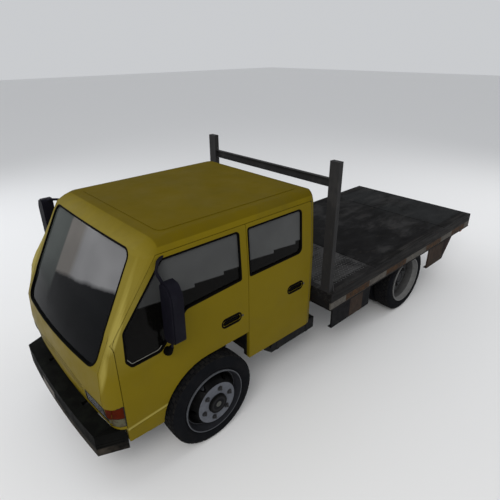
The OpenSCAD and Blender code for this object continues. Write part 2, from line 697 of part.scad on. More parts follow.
// Pipe from the engine under the rail to the muffler, and the tail pipe ahead of the rear wheels
pipe_r = 24;
pipe_x = -466;
pipe_z = hub_z + 30;
muffler_length = 750;
muffler_y1 = wheelbase - 1000;
muffler_y0 = muffler_y1 - muffler_length;
muffler_x = -530;
muffler_z = pipe_z - 20;
muffler_r = 88;
module exhaust() color("gray") truck() {
    rod_x(-310, -280 - seat, 380, pipe_z, pipe_r);
    rod_y(380 - pipe_r, 650, -310, pipe_z, pipe_r);
    rod_x(pipe_x, -310, 650, pipe_z, pipe_r);
    rod_y(650, muffler_y0, pipe_x, pipe_z, pipe_r);
    rod_y(muffler_y0, muffler_y1, muffler_x, muffler_z, muffler_r);
    for (y = [muffler_y0, muffler_y1 - 12]) rod_y(y, y + 12, muffler_x, muffler_z, muffler_r + 5);
    rod_y(muffler_y1, wheelbase - 650, muffler_x - 30, muffler_z, pipe_r);
    for (y = [800, muffler_y0 - 250]) box([pipe_x - 8, y, pipe_z + 5], [-rail_half - seat, y + 30, 600]);
    for (y = [muffler_y0 + 100, muffler_y1 - 150])
        box([muffler_x, y, muffler_z + 60], [-rail_half - seat, y + 40, 600]);
}

// Deck: an outer ring of channels, two sills on the rails and evenly spaced beams, short over the wheels
ring_t = 8;
ring_d = 30;
front_sill = 84;
deck_bottom = deck_z - side_h;
inner_half = deck_half - ring_d;
beam_w = 60;
beam_t = 8;
beam_z = 840;
beams = 7;
beam_first = deck_front + front_sill + 56;
beam_last = deck_rear - beam_w - 61;
beam_y = [for (i = [0 : beams - 1]) beam_first + (beam_last - beam_first) * i / (beams - 1)];
function beam_half(y) = abs(y + beam_w / 2 - wheelbase) < tyre_radius - 100 ? 500 : deck_half - ring_t;
lip_h = 14;
lip_out = 5;
module deck_frame() color("gray") truck() {
    both() difference() {
        union() {
            box([inner_half, deck_front, deck_bottom + lip_h - 1], [deck_half, deck_rear, deck_z]);
            box([inner_half, deck_front, deck_bottom], [deck_half + lip_out, deck_rear, deck_bottom + lip_h]);
        }
        box([inner_half - 1, deck_front + front_sill, deck_bottom + ring_t], [deck_half - ring_t, deck_rear - ring_d, deck_z - ring_t]);
    }
    channel(inner_half + 1, deck_front, front_sill, deck_bottom, deck_z, ring_t, 1);
    channel(inner_half + 1, deck_rear - ring_d, ring_d, deck_bottom, deck_z, ring_t);
}
module deck_sills() color("gray") truck() both() difference() {
    box([rail_x, deck_front + front_sill, rail_top], [rail_half, deck_rear - 60, beam_z]);
    box([rail_x - 1, deck_front, rail_top + rail_t], [rail_half - rail_t, deck_rear, beam_z - rail_t]);
}
module deck_beams() color("gray") truck()
    for (y = beam_y) channel(beam_half(y), y, beam_w, beam_z, deck_z - deck_t, beam_t);

// Floor of three plates that meet in open seams
seam_y = [for (share = [0.25, 0.76]) deck_front + share * (deck_rear - deck_front)];
seam_w = 8;
seam_depth = 5;
module deck_floor() color("dimgray") truck() difference() {
    box([-inner_half, deck_front + front_sill, deck_z - deck_t], [inner_half, deck_rear - ring_d, deck_z]);
    for (y = seam_y) box([-deck_half, y, deck_z - seam_depth], [deck_half, y + seam_w, deck_z + 1]);
}

// Goalpost: two square tubes on flared feet, joined by a rail near the top
post_x = deck_half - 162;
post_w = 118;
post_d = 60;
post_y = deck_front + 3;
post_t = 6;
foot_h = 90;
cross_z = post_top - 270;
cross_h = 86;
module headboard() color("gray") truck() {
    both() {
        difference() {
            box([post_x, post_y, deck_z], [post_x + post_w, post_y + post_d, post_top]);
            box([post_x + post_t, post_y + post_t, deck_z - 1], [post_x + post_w - post_t, post_y + post_d - post_t, post_top - post_t]);
        }
        front_prism([[post_x - 20, deck_z], [post_x + post_w + 16, deck_z], [post_x + post_w + 16, deck_z + 12],
            [post_x + post_w, deck_z + foot_h], [post_x, deck_z + foot_h], [post_x - 20, deck_z + 12]], post_y + post_d - 1, post_y + 78);
    }
    channel(post_x + 1, post_y + 10, 40, cross_z, cross_z + cross_h, post_t);
}

// Skirts: plates with a folded lower edge that hang from the side rails
skirt_t = 22;
module skirt(points, y0, y1, z) {
    side_prism(points, deck_half - 4 - skirt_t, deck_half - 4);
    box([deck_half - 60, y0, z], [deck_half - 4, y1, z + 6]);
}
module side_skirts() color("gray") truck() both() {
    front = deck_front + 53;
    rear = wheelbase + 535;
    skirt([[front, 535], [front + 767, 535], [front + 767, deck_bottom], [front, deck_bottom]], front, front + 767, 535);
    skirt([[rear, 470], [rear + 492, 470], [rear + 734, deck_bottom], [rear, deck_bottom]], rear, rear + 492, 470);
}

// Lamp boxes on brackets under the last cross member
lamp_x = deck_half - 320;
lamp_w = 250;
lamp_z = deck_bottom - 106;
module tail_lamps() color("red") truck() both() {
    box([lamp_x, deck_rear - 90, lamp_z], [lamp_x + lamp_w, deck_rear - 30, deck_bottom - 6]);
    box([lamp_x + 100, beam_last + 10, deck_bottom - 20], [lamp_x + 140, deck_rear - 80, deck_bottom - 14]);
    box([lamp_x + 100, beam_last + 10, deck_bottom - 20], [lamp_x + 140, beam_last + 40, beam_z - seat]);
}

// Tyre section revolved about X, its middle at x
half_w = tyre_width / 2;
bead_w = half_w - 22;
bead_r = rim_radius - 6;
well_r = rim_radius - 30;
module tyre(x) translate([x, 0, hub_z]) rotate([0, 90, 0]) rotate_extrude($fn = 96)
    polygon(rounded([[bead_r, -bead_w, 0], [rim_radius + 40, -half_w, 40], [tyre_radius - 45, 4 - half_w, 30],
        [tyre_radius - 6, 28 - half_w, 24], [tyre_radius, 0, 400], [tyre_radius - 6, half_w - 28, 24],
        [tyre_radius - 45, half_w - 4, 30], [rim_radius + 40, half_w, 40], [bead_r, bead_w, 0], [well_r, 0, 0]], 5));
module tyre_front() color([0.12, 0.12, 0.12]) truck() tyre(front_track_half);
module tyre_front_left() { tyre_front(); }
module tyre_front_right() { mirror([1, 0, 0]) tyre_front(); }
module tyres_rear() color([0.12, 0.12, 0.12]) truck() translate([0, wheelbase, 0]) {
    tyre(rear_outer_half - half_w);
    tyre(rear_outer_half - 3 * half_w - twin_gap);
}
module tyres_rear_left() { tyres_rear(); }
module tyres_rear_right() { mirror([1, 0, 0]) tyres_rear(); }

// Rim section revolved about X: flanges, well and a disc from join to face, both along the axle
rim_t = 10;
hole_r = 26;
hole_circle = 248;
disc_r = 213;
function barrel(h) = well_r - 4 + (bead_r - well_r) * abs(h) / bead_w;
module rim(x, join, face, bore) translate([x, 0, hub_z]) rotate([0, 90, 0]) difference() {
    rotate_extrude($fn = 96) {
        side = face > join ? 1 : -1;
        polygon([[rim_radius, -bead_w - 4], [bead_r - seat, -bead_w], [well_r - seat, 0], [bead_r - seat, bead_w],
            [rim_radius, bead_w + 4], [rim_radius + 2, half_w + 2], [rim_radius - 12, half_w + 2],
            [rim_radius - 14, bead_w], [well_r - rim_t, 20], [well_r - rim_t, -20], [rim_radius - 14, -bead_w],
            [rim_radius - 12, -half_w - 2], [rim_radius + 2, -half_w - 2]]);
        polygon([[barrel(join), join], [well_r - 24, join + side * 4], [disc_r, face], [bore, face],
            [bore, face - side * 14], [disc_r - 8, face - side * 14], [well_r - 36, join - side * 10],
            [barrel(join - side * 14), join - side * 14]]);
    }
    for (k = [0 : 5]) rotate([0, 0, 60 * k + 30]) translate([hole_circle, 0, -200]) cylinder(h = 400, r = hole_r, $fn = 32);
}
// Hub of a front wheel with its brake drum, blind at the outer end
front_face = 142;
spindle_r = 30;
spindle_end = front_track_half + front_face;
module rim_front() color("silver") truck() {
    rim(front_track_half, 40, front_face, 60);
    translate([front_track_half, 0, hub_z]) rotate([0, 90, 0]) rotate_extrude($fn = 96)
        polygon([[0, front_face + 28], [96, front_face + 28], [100, front_face], [100, front_face - 14],
            [180, front_face - 14], [180, 12], [168, 12], [168, front_face - 26], [60, front_face - 26],
            [60, 20], [spindle_r + fit_gap, 20], [spindle_r + fit_gap, front_face + 8], [0, front_face + 8]]);
}
module rim_front_left() { rim_front(); }
module rim_front_right() { mirror([1, 0, 0]) rim_front(); }
// Twin rims whose discs meet, with the hub and brake drum
twin_face = half_w + twin_gap / 2;
module rims_rear() color("silver") truck() translate([0, wheelbase, 0]) {
    rim(twin_x + twin_face, -60, -twin_face, 60);
    rim(twin_x - twin_face, 60, twin_face, 60);
    translate([twin_x, 0, hub_z]) rotate([0, 90, 0]) rotate_extrude($fn = 96)
        polygon([[0, 150], [84, 150], [92, 120], [92, 10], [188, 10], [188, -150], [172, -150], [172, -16],
            [70, -16], [70, -80], [hub_r + fit_gap, -80], [hub_r + fit_gap, 138], [0, 138]]);
}
module rims_rear_left() { rims_rear(); }
module rims_rear_right() { mirror([1, 0, 0]) rims_rear(); }

arm_y = 190;
arm_z = hub_z - 70;
arm_t = 22;
rod_pin_r = 12;
rod_z = hub_z - 88;
lug_t = 29.5;
module knuckle() color("dimgray") truck() {
    k = kingpin_half;
    translate([k, 0, hub_z - 72]) cylinder(h = 144, r = kingpin_r, $fn = 48);
    for (z = [hub_z - 70, hub_z + 70 - lug_t]) {
        translate([k, 0, z]) cylinder(h = lug_t, r = boss_r, $fn = 48);
        box([k, -30, z], [k + 46, 30, z + lug_t]);
    }
    box([k + 44, -42, hub_z - 70], [k + 62, 42, hub_z + 70]);
    rod_x(k + 61, spindle_end, 0, hub_z, spindle_r);
    rod_x(k + 62, k + 72, 0, hub_z, 160);
    box([k - 20, 20, arm_z], [k + 20, arm_y, arm_z + arm_t]);
    translate([k, arm_y, arm_z]) cylinder(h = arm_t, r = 24, $fn = 48);
    translate([k, arm_y, arm_z - 34]) cylinder(h = 40, r = rod_pin_r, $fn = 32);
}
module knuckle_left() { knuckle(); }
module knuckle_right() { mirror([1, 0, 0]) knuckle(); }

rod_r = 14;
rod_eye = 26;
rod_slack = 5;
module tie_rod() color("dimgray") truck() difference() {
    k = kingpin_half;
    union() {
        rod_x(rod_eye - k, k - rod_eye, arm_y, rod_z, rod_r);
        both() translate([k, arm_y, rod_z - 13]) cylinder(h = 26, r = 28, $fn = 48);
    }
    translate([k, arm_y, rod_z - 40]) cylinder(h = 80, r = rod_pin_r + fit_gap, $fn = 48);
    translate([-k, arm_y, rod_z - 40]) cylinder(h = 80, r = rod_pin_r + rod_slack, $fn = 48);
}

frame();
cross_members();
front_axle();
rear_axle();
leaf_springs();
drive_shaft();
engine();
fuel_tank();
battery_box();
exhaust();
front_bumper();
deck_frame();
deck_sills();
deck_beams();
deck_floor();
headboard();
side_skirts();
tail_lamps();
cab_floor();
cab_front();
cab_sides();
cab_back();
roof();
cab_glass();
dashboard();
steering_wheel();
seats();
headlamps();
corner_lamps();
door_front_left();
door_front_right();
door_rear_left();
door_rear_right();
glass_front_left();
glass_front_right();
glass_rear_left();
glass_rear_right();
mirror_left();
mirror_right();
knuckle_left();
knuckle_right();
tie_rod();
tyre_front_left();
tyre_front_right();
rim_front_left();
rim_front_right();
tyres_rear_left();
tyres_rear_right();
rims_rear_left();
rims_rear_right();
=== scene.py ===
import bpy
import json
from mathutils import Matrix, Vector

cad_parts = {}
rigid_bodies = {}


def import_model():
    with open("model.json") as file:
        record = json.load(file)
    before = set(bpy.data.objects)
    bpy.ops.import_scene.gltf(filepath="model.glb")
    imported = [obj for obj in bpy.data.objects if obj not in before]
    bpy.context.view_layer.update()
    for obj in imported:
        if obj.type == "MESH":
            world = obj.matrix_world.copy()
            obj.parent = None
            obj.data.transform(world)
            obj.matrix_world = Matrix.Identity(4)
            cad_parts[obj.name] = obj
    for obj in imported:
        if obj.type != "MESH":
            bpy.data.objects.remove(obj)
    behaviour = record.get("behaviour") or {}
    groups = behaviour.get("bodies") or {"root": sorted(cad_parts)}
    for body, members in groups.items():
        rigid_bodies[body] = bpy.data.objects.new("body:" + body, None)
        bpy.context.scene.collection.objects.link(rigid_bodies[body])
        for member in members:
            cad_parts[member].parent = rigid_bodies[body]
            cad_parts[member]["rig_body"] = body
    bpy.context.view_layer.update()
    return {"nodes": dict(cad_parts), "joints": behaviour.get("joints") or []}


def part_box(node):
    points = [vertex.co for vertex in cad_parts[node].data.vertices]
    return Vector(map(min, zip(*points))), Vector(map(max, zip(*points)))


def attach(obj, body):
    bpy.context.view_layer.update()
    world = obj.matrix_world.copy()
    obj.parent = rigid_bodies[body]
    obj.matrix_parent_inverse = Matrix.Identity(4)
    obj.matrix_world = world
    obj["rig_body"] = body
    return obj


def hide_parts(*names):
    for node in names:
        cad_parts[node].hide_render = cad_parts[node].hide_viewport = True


bl_info = {
    "name": "Crew-cab flatbed truck",
    "version": (1, 0, 0),
    "blender": (4, 5, 0),
    "location": "View3D > Sidebar > Truck",
    "description": "Dresses a flatbed truck with worn paint, rubber, glass, cushions and fittings",
    "category": "Object",
}

import json
import math

import bmesh
import bpy
from bpy.props import FloatProperty, FloatVectorProperty, IntProperty, PointerProperty
from mathutils import Matrix, Vector
from mathutils.bvhtree import BVHTree

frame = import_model()
joint_at = {j["name"]: Vector(j["pos_m"]) for j in frame["joints"]}
AXLE_Y = joint_at["steer_left"].y
HUB_Z = joint_at["steer_left"].z
REAR_Y = joint_at["roll_rear_left"].y
SIDES = (("left", 1.0), ("right", -1.0))
UP = Vector((0.0, 0.0, 1.0))
ALONG = Vector((0.0, 1.0, 0.0))
MERGE_DISTANCE = 2e-5
FLAT_ANGLE = math.radians(0.6)


# Points and meshes

def at(x, y, z):
    """A point given in millimetres: across, behind the front axle and above the ground."""
    return Vector((x / 1000.0, AXLE_Y + y / 1000.0, z / 1000.0))


def outline(points, steps=6):
    """Rounds each corner (u, v, radius) of a closed outline."""
    out = []
    n = len(points)
    for i in range(n):
        p = Vector(points[i][:2])
        r = points[i][2]
        a = (Vector(points[i - 1][:2]) - p).normalized()
        b = (Vector(points[(i + 1) % n][:2]) - p).normalized()
        if r == 0:
            out.append(p)
            continue
        half = math.acos(max(-1.0, min(1.0, a.dot(b)))) / 2
        centre = p + (a + b).normalized() * (r / math.sin(half))
        start = p + a * (r / math.tan(half)) - centre
        end = p + b * (r / math.tan(half)) - centre
        for k in range(steps + 1):
            out.append(centre + start.lerp(end, k / steps).normalized() * r)
    return out


def signed_area(points):
    """An outline's area, negative where it runs clockwise."""
    total = 0.0
    for i in range(len(points)):
        a = points[i - 1]
        b = points[i]
        total += a.x * b.y - b.x * a.y
    return total / 2


def ring_of(points, grow=0.0, gap=45.0):
    """A rounded outline run anticlockwise, with a point at least every gap, moved outwards by grow."""
    corners = outline(points)
    if signed_area(corners) < 0:
        corners.reverse()
    dense = []
    for i in range(len(corners)):
        a = corners[i]
        b = corners[(i + 1) % len(corners)]
        k = max(1, int((b - a).length / gap))
        for j in range(k):
            dense.append(a.lerp(b, j / k))
    out = []
    for i in range(len(dense)):
        along = (dense[(i + 1) % len(dense)] - dense[i - 1]).normalized()
        out.append(dense[i] + Vector((along.y, -along.x)) * grow)
    return out


def inside(u, v, points):
    """True if (u, v) lies within the outline."""
    found = False
    for i in range(len(points)):
        a = points[i - 1]
        b = points[i]
        if (a.y > v) != (b.y > v) and u < a.x + (v - a.y) * (b.x - a.x) / (b.y - a.y):
            found = not found
    return found


def keep(name, mesh, material):
    """Puts a mesh in the scene with one material."""
    obj = bpy.data.objects.new(name, mesh)
    bpy.context.scene.collection.objects.link(obj)
    mesh.materials.clear()
    mesh.materials.append(material)
    return obj


def mesh_object(name, verts, faces, material):
    """A mesh from points and faces, turned to face outwards."""
    mesh = bpy.data.meshes.new(name)
    mesh.from_pydata([tuple(v) for v in verts], [], faces)
    bm = bmesh.new()
    bm.from_mesh(mesh)
    bmesh.ops.recalc_face_normals(bm, faces=bm.faces[:])
    bm.to_mesh(mesh)
    bm.free()
    return keep(name, mesh, material)


def smooth(obj, angle=40.0):
    """Shades smooth and keeps edges sharper than the angle."""
    mesh = obj.data
    mesh.shade_smooth()
    bm = bmesh.new()
    bm.from_mesh(mesh)
    limit = math.radians(angle)
    for e in bm.edges:
        e.smooth = len(e.link_faces) == 2 and e.calc_face_angle(0.0) < limit
    bm.to_mesh(mesh)
    bm.free()
    return obj


def bevel(obj, width, angle=50.0, segments=2):
    """Eases the edges that are sharper than the angle."""
    mod = obj.modifiers.new("edges", "BEVEL")
    mod.width = width
    mod.segments = segments
    mod.limit_method = "ANGLE"
    mod.angle_limit = math.radians(angle)
    return obj


def plain_mesh(obj):
    """The object's mesh with its modifiers worked out."""
    evaluated = obj.evaluated_get(bpy.context.evaluated_depsgraph_get())
    return bpy.data.meshes.new_from_object(evaluated)


def body_of(node_name):
    """The body that a CAD node rides on."""
    return frame["nodes"][node_name]["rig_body"]


def dress(node_name, material, width=0.002, angle=40.0):
    """A copy of a CAD node with merged faces, eased edges and a finish, in the node's place."""
    source = frame["nodes"][node_name]
    bm = bmesh.new()
    bm.from_mesh(source.data)
    bmesh.ops.remove_doubles(bm, verts=bm.verts[:], dist=MERGE_DISTANCE)
    bmesh.ops.dissolve_limit(bm, angle_limit=FLAT_ANGLE, verts=bm.verts[:], edges=bm.edges[:])
    mesh = bpy.data.meshes.new(node_name + "_dressed")
    bm.to_mesh(mesh)
    bm.free()
    obj = smooth(keep(node_name + "_dressed", mesh, material), angle)
    if width > 0:
        bevel(obj, width)
    weighted = obj.modifiers.new("shading", "WEIGHTED_NORMAL")
    weighted.keep_sharp = True
    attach(obj, source["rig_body"])
    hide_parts(node_name)
    return obj


def paint(obj, material, test):
    """Gives the faces that pass the test another finish."""
    obj.data.materials.append(material)
    index = len(obj.data.materials) - 1
    for face in obj.data.polygons:
        if test(face):
            face.material_index = index
    return obj


def ring_faces(rings, size, closed=True, first=0):
    """Faces that join rings of equally many points into a tube, with ends where it isn't closed."""
    faces = []
    for i in range(rings if closed else rings - 1):
        here = first + i * size
        there = first + (i + 1) % rings * size
        for k in range(size):
            h = (k + 1) % size
            faces.append((here + k, here + h, there + h, there + k))
    if not closed:
        faces.append(tuple(range(first, first + size)))
        faces.append(tuple(range(first + (rings - 1) * size, first + rings * size)))
    return faces


def sweep(name, path, normals, profile, material, body, closed=True):
    """Carries a profile of (across, out) points along a path on a surface with the given normals."""
    n = len(path)
    verts = []
    for i in range(n):
        before = path[i - 1] if closed or i > 0 else path[i]
        after = path[(i + 1) % n] if closed or i < n - 1 else path[i]
        along = (after - before).normalized()
        out = normals[i].normalized()
        across = along.cross(out).normalized()
        for u, v in profile:
            verts.append(path[i] + across * u + out * v)
    faces = ring_faces(n, len(profile), closed)
    obj = smooth(mesh_object(name, verts, faces, material), 50)
    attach(obj, body)
    return obj


def slab(name, points, place, thickness, material, body, ease=0.0006):
    """A thin plate: an outline that place() puts on a surface, with its edge eased."""
    verts = []
    for p in points:
        spot, normal = place(p)
        verts.append(spot - normal * 0.001)
        verts.append(spot + normal * thickness)
    n = len(points)
    faces = [tuple(2 * i for i in range(n)), tuple(2 * i + 1 for i in range(n))]
    for i in range(n):
        j = (i + 1) % n
        faces.append((2 * i, 2 * j, 2 * j + 1, 2 * i + 1))
    obj = mesh_object(name, verts, faces, material)
    bevel(smooth(obj, 30), ease, 40)
    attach(obj, body)
    return obj


def box_outline(u0, u1, v0, v1, r, steps=4):
    """A rectangle's outline with rounded corners."""
    return outline([(u0, v0, r), (u1, v0, r), (u1, v1, r), (u0, v1, r)], steps)


def flat_strip(half_width, foot, top):
    """The profile of a flat strip that stands from foot to top over the surface."""
    return ((-half_width, foot), (-half_width, top), (half_width, top), (half_width, foot))


class Surface:
    """Finds places on CAD nodes by rays."""

    def __init__(self, *nodes):
        bm = bmesh.new()
        for n in nodes:
            bm.from_mesh(frame["nodes"][n].data)
        self.tree = BVHTree.FromBMesh(bm)
        bm.free()

    def hit(self, origin, direction):
        place, normal, _, _ = self.tree.ray_cast(Vector(origin), Vector(direction).normalized())
        if place is None:
            return None, None
        if normal.dot(Vector(direction)) > 0:
            normal = -normal
        return place, normal


# Finishes

def node(tree, kind, **values):
    """Adds a node with some of its settings."""
    made = tree.nodes.new(kind)
    for key, value in values.items():
        setattr(made, key, value)
    return made


def noise(tree, vector, scale, detail=4.0, rough=0.6, distort=0.0):
    made = node(tree, "ShaderNodeTexNoise")
    made.inputs["Scale"].default_value = scale
    made.inputs["Detail"].default_value = detail
    made.inputs["Roughness"].default_value = rough
    made.inputs["Distortion"].default_value = distort
    tree.links.new(vector, made.inputs["Vector"])
    return made.outputs["Fac"]


def ramp(tree, value, low, high, to_low=0.0, to_high=1.0):
    """Carries low to to_low and high to to_high, with no more beyond either."""
    made = node(tree, "ShaderNodeMapRange")
    made.inputs["From Min"].default_value = low
    made.inputs["From Max"].default_value = high
    made.inputs["To Min"].default_value = to_low
    made.inputs["To Max"].default_value = to_high
    tree.links.new(value, made.inputs["Value"])
    return made.outputs["Result"]


def calc(tree, operation, a, b):
    """A sum or product of two sockets, or of a socket and a number."""
    made = node(tree, "ShaderNodeMath", operation=operation)
    for value, place in ((a, 0), (b, 1)):
        if isinstance(value, float):
            made.inputs[place].default_value = value
        else:
            tree.links.new(value, made.inputs[place])
    return made.outputs[0]


def times(tree, a, b):
    return calc(tree, "MULTIPLY", a, b)


def size_of(tree, value):
    """A value without its sign, such as a distance from the truck's middle."""
    return calc(tree, "ABSOLUTE", value, 0.0)


def band(tree, value, low, high, soft):
    """1 between low and high and 0 outside, with soft edges."""
    rise = ramp(tree, value, low - soft, low + soft)
    return times(tree, rise, ramp(tree, value, high + soft, high - soft))


def blend_colour(tree, share, first, second):
    """Mixes two colours, each a tuple or a socket."""
    made = node(tree, "ShaderNodeMix", data_type="RGBA")
    tree.links.new(share, made.inputs["Factor"])
    for value, place in ((first, 6), (second, 7)):
        if isinstance(value, tuple):
            made.inputs[place].default_value = shade(value, 1.0)
        else:
            tree.links.new(value, made.inputs[place])
    return made.outputs[2]


def shade(colour, factor):
    """A colour made lighter or darker, with full alpha."""
    return tuple(min(1.0, c * factor) for c in colour[:3]) + (1.0,)


def own_place(tree):
    """The object's own coordinates."""
    return node(tree, "ShaderNodeTexCoord").outputs["Object"]


def split_place(tree, place):
    """The three parts of a place."""
    parts = node(tree, "ShaderNodeSeparateXYZ")
    tree.links.new(place, parts.inputs[0])
    return parts.outputs["X"], parts.outputs["Y"], parts.outputs["Z"]


def new_material(name):
    """A material with its node tree and its Principled node."""
    mat = bpy.data.materials.new(name)
    mat.use_nodes = True
    return mat, mat.node_tree, mat.node_tree.nodes["Principled BSDF"]


COAT_ROUGHNESS = 0.12
GRAIN_DEPTH = 0.002
# The scale that gives a band texture one band a metre
BANDS_A_METRE = 0.31416


def finish(name, colour, rough=0.5, metal=0.0, coat=0.0, spread=0.1, scale=2.5, stains=(), low=None,
           grain=(220.0, 0.05), rough_spread=0.1, stretch=(1.0, 1.0, 1.0), specular=0.25, tint=None,
           ribs=None):
    """A worn surface: stains are (colour, scale, from, to, strength), low is (colour, height, strength),
    grain is (scale, strength), tint(tree, place, base) paints what follows the object's own places,
    and ribs are (axis, pitch, strength)."""
    mat, tree, bsdf = new_material(name)
    own = own_place(tree)
    mapping = node(tree, "ShaderNodeMapping")
    mapping.inputs["Scale"].default_value = stretch
    tree.links.new(own, mapping.inputs["Vector"])
    place = mapping.outputs["Vector"]
    base = blend_colour(tree, ramp(tree, noise(tree, place, scale), 0.3, 0.7),
                        shade(colour, 1.0 - spread), shade(colour, 1.0 + spread))
    if tint:
        base = tint(tree, own, base)
    for stain, size, start, stop, strength in stains:
        share = times(tree, ramp(tree, noise(tree, place, size, 6.0, 0.65, 0.4), start, stop), strength)
        base = blend_colour(tree, share, base, stain)
    if low:
        patchy = ramp(tree, noise(tree, place, 7.0, 5.0), 0.3, 0.75, 0.25, 1.0)
        height = split_place(tree, own)[2]
        share = times(tree, times(tree, ramp(tree, height, low[1], low[1] * 0.35), patchy), low[2])
        base = blend_colour(tree, share, base, low[0])
    tree.links.new(base, bsdf.inputs["Base Color"])
    rough_map = ramp(tree, noise(tree, place, scale * 3), 0.3, 0.7, rough - rough_spread,
                     rough + rough_spread)
    tree.links.new(rough_map, bsdf.inputs["Roughness"])
    bsdf.inputs["Metallic"].default_value = metal
    bsdf.inputs["Coat Weight"].default_value = coat
    bsdf.inputs["Coat Roughness"].default_value = COAT_ROUGHNESS
    bsdf.inputs["Specular IOR Level"].default_value = specular
    if grain[1] > 0:
        bump = node(tree, "ShaderNodeBump")
        bump.inputs["Strength"].default_value = grain[1]
        bump.inputs["Distance"].default_value = GRAIN_DEPTH
        relief = noise(tree, place, grain[0], 3.0)
        if ribs:
            flutes = node(tree, "ShaderNodeTexWave", wave_type="BANDS", bands_direction=ribs[0])
            flutes.inputs["Scale"].default_value = BANDS_A_METRE / ribs[1]
            tree.links.new(own, flutes.inputs["Vector"])
            relief = flutes.outputs["Fac"]
            bump.inputs["Strength"].default_value = ribs[2]
        tree.links.new(relief, bump.inputs["Height"])
        tree.links.new(bump.outputs["Normal"], bsdf.inputs["Normal"])
    return mat


def glass_finish(name, colour, alpha, tint=None, rough=0.05, specular=0.3):
    """Tinted glass with a film of dust; tint paints reflections on it."""
    mat, tree, bsdf = new_material(name)
    own = own_place(tree)
    film = ramp(tree, noise(tree, own, 3.0, 5.0), 0.35, 0.75)
    base = blend_colour(tree, film, shade(colour, 0.85), shade(colour, 1.25))
    if tint:
        base = tint(tree, own, base)
    tree.links.new(base, bsdf.inputs["Base Color"])
    tree.links.new(ramp(tree, film, 0.0, 1.0, rough, rough + 0.08), bsdf.inputs["Roughness"])
    bsdf.inputs["Alpha"].default_value = alpha
    bsdf.inputs["Specular IOR Level"].default_value = specular
    return mat


# Tints that follow the truck's own places

# Heights in the tints are above the ground and lengths are behind the front axle, both in metres
# Colours of the reflections painted on the glass
REFLECTION_GREEN = (0.075, 0.085, 0.08)
REFLECTION_WARM = (0.145, 0.135, 0.125)
REFLECTION_COOL = (0.20, 0.20, 0.205)
REFLECTION_SIDE = (0.072, 0.074, 0.074)


def screen_reflections(tree, place, base):
    """The windscreen's painted reflections: pale on its upper left, greenish beside that, and clear and
    dark at its foot.
    """
    slope = -0.158
    x, _, z = split_place(tree, place)
    ragged = ramp(tree, noise(tree, place, 4.0, 3.0), 0.3, 0.7, -0.012, 0.012)
    line = calc(tree, "ADD", calc(tree, "ADD", z, times(tree, x, slope)), ragged)
    above = ramp(tree, line, 1.695, 1.735)
    streaks = ramp(tree, noise(tree, place, 1.6, 2.0), 0.35, 0.65, 0.75, 1.0)
    green = times(tree, times(tree, ramp(tree, x, -0.29, -0.33), ramp(tree, z, 1.42, 1.75)), streaks)
    base = blend_colour(tree, times(tree, green, 0.8), base, REFLECTION_GREEN)
    pale = times(tree, ramp(tree, x, -0.33, -0.30), above)
    tone = blend_colour(tree, ramp(tree, x, -0.06, 0.03), REFLECTION_WARM, REFLECTION_COOL)
    return blend_colour(tree, times(tree, pale, streaks), base, tone)


def side_reflections(tree, place, base):
    """A side window's painted reflection: pale above a stepped line, clear and dark below it."""
    step = 0.31
    slope = 0.10
    _, y, z = split_place(tree, place)
    since_step = calc(tree, "SUBTRACT", y, calc(tree, "SNAP", y, step))
    line = calc(tree, "ADD", z, times(tree, since_step, slope))
    above = ramp(tree, line, 1.745, 1.757)
    front = ramp(tree, y, AXLE_Y - 0.30, AXLE_Y - 0.42)
    share = times(tree, above, ramp(tree, front, 0.0, 1.0, 1.0, 0.6))
    streaks = ramp(tree, noise(tree, place, 2.5, 2.0), 0.3, 0.7, 0.8, 1.0)
    return blend_colour(tree, times(tree, share, streaks), base, REFLECTION_SIDE)


# The line of the painted highlight on the front pillar's edge: height, length
PILLAR_HIGHLIGHT_LINE = ((0.90, -1.033), (1.42, -0.899), (2.30, -0.428))


def painted_highlights(pale):
    """Painted highlights: paler paint towards the front and on the upper pillars, a pale streak along the
    pillar's edge and a pale band on the sill's crease.
    """
    def tint(tree, place, base):
        x, y, z = split_place(tree, place)
        # Painted highlight towards the front and on the upper pillars
        front = times(tree, ramp(tree, y, AXLE_Y - 0.80, AXLE_Y - 0.92), 0.02)
        pillar = times(tree, ramp(tree, z, 1.2, 1.6), ramp(tree, y, AXLE_Y - 0.35, AXLE_Y - 0.60))
        both = calc(tree, "MAXIMUM", front, times(tree, pillar, 0.36))
        base = blend_colour(tree, both, base, pale)
        # A painted highlight streak along the front pillar's edge
        corner = node(tree, "ShaderNodeFloatCurve")
        low = PILLAR_HIGHLIGHT_LINE[0][0]
        high = PILLAR_HIGHLIGHT_LINE[-1][0]
        start = -1.1
        reach = 0.8
        tree.links.new(ramp(tree, z, low, high), corner.inputs["Value"])
        marks = corner.mapping.curves[0].points
        foot, knee, head = [((height - low) / (high - low), (back - start) / reach)
                            for height, back in PILLAR_HIGHLIGHT_LINE]
        marks[0].location = foot
        marks.new(*knee)
        marks[-1].location = head
        for mark in marks:
            mark.handle_type = "VECTOR"
        corner.mapping.update()
        line = calc(tree, "ADD", times(tree, corner.outputs["Value"], reach), AXLE_Y + start)
        away = size_of(tree, calc(tree, "SUBTRACT", y, line))
        outer = ramp(tree, size_of(tree, x), 0.80, 0.84)
        pillar_highlight = times(tree, times(tree, ramp(tree, away, 0.026, 0.010), outer), 0.55)
        base = blend_colour(tree, pillar_highlight, base, shade(pale, 1.35)[:3])
        # A painted highlight along the sill's crease
        slope = -0.045
        rise = calc(tree, "ADD", z, times(tree, y, slope))
        at_axle = AXLE_Y * slope
        crease = times(tree, band(tree, rise, at_axle + 0.703, at_axle + 0.728, 0.007),
                       ramp(tree, y, AXLE_Y - 0.36, AXLE_Y - 0.42))
        return blend_colour(tree, times(tree, crease, 0.75), base, shade(pale, 1.25)[:3])
    return tint


ROOF_EDGE_Z = 2.168


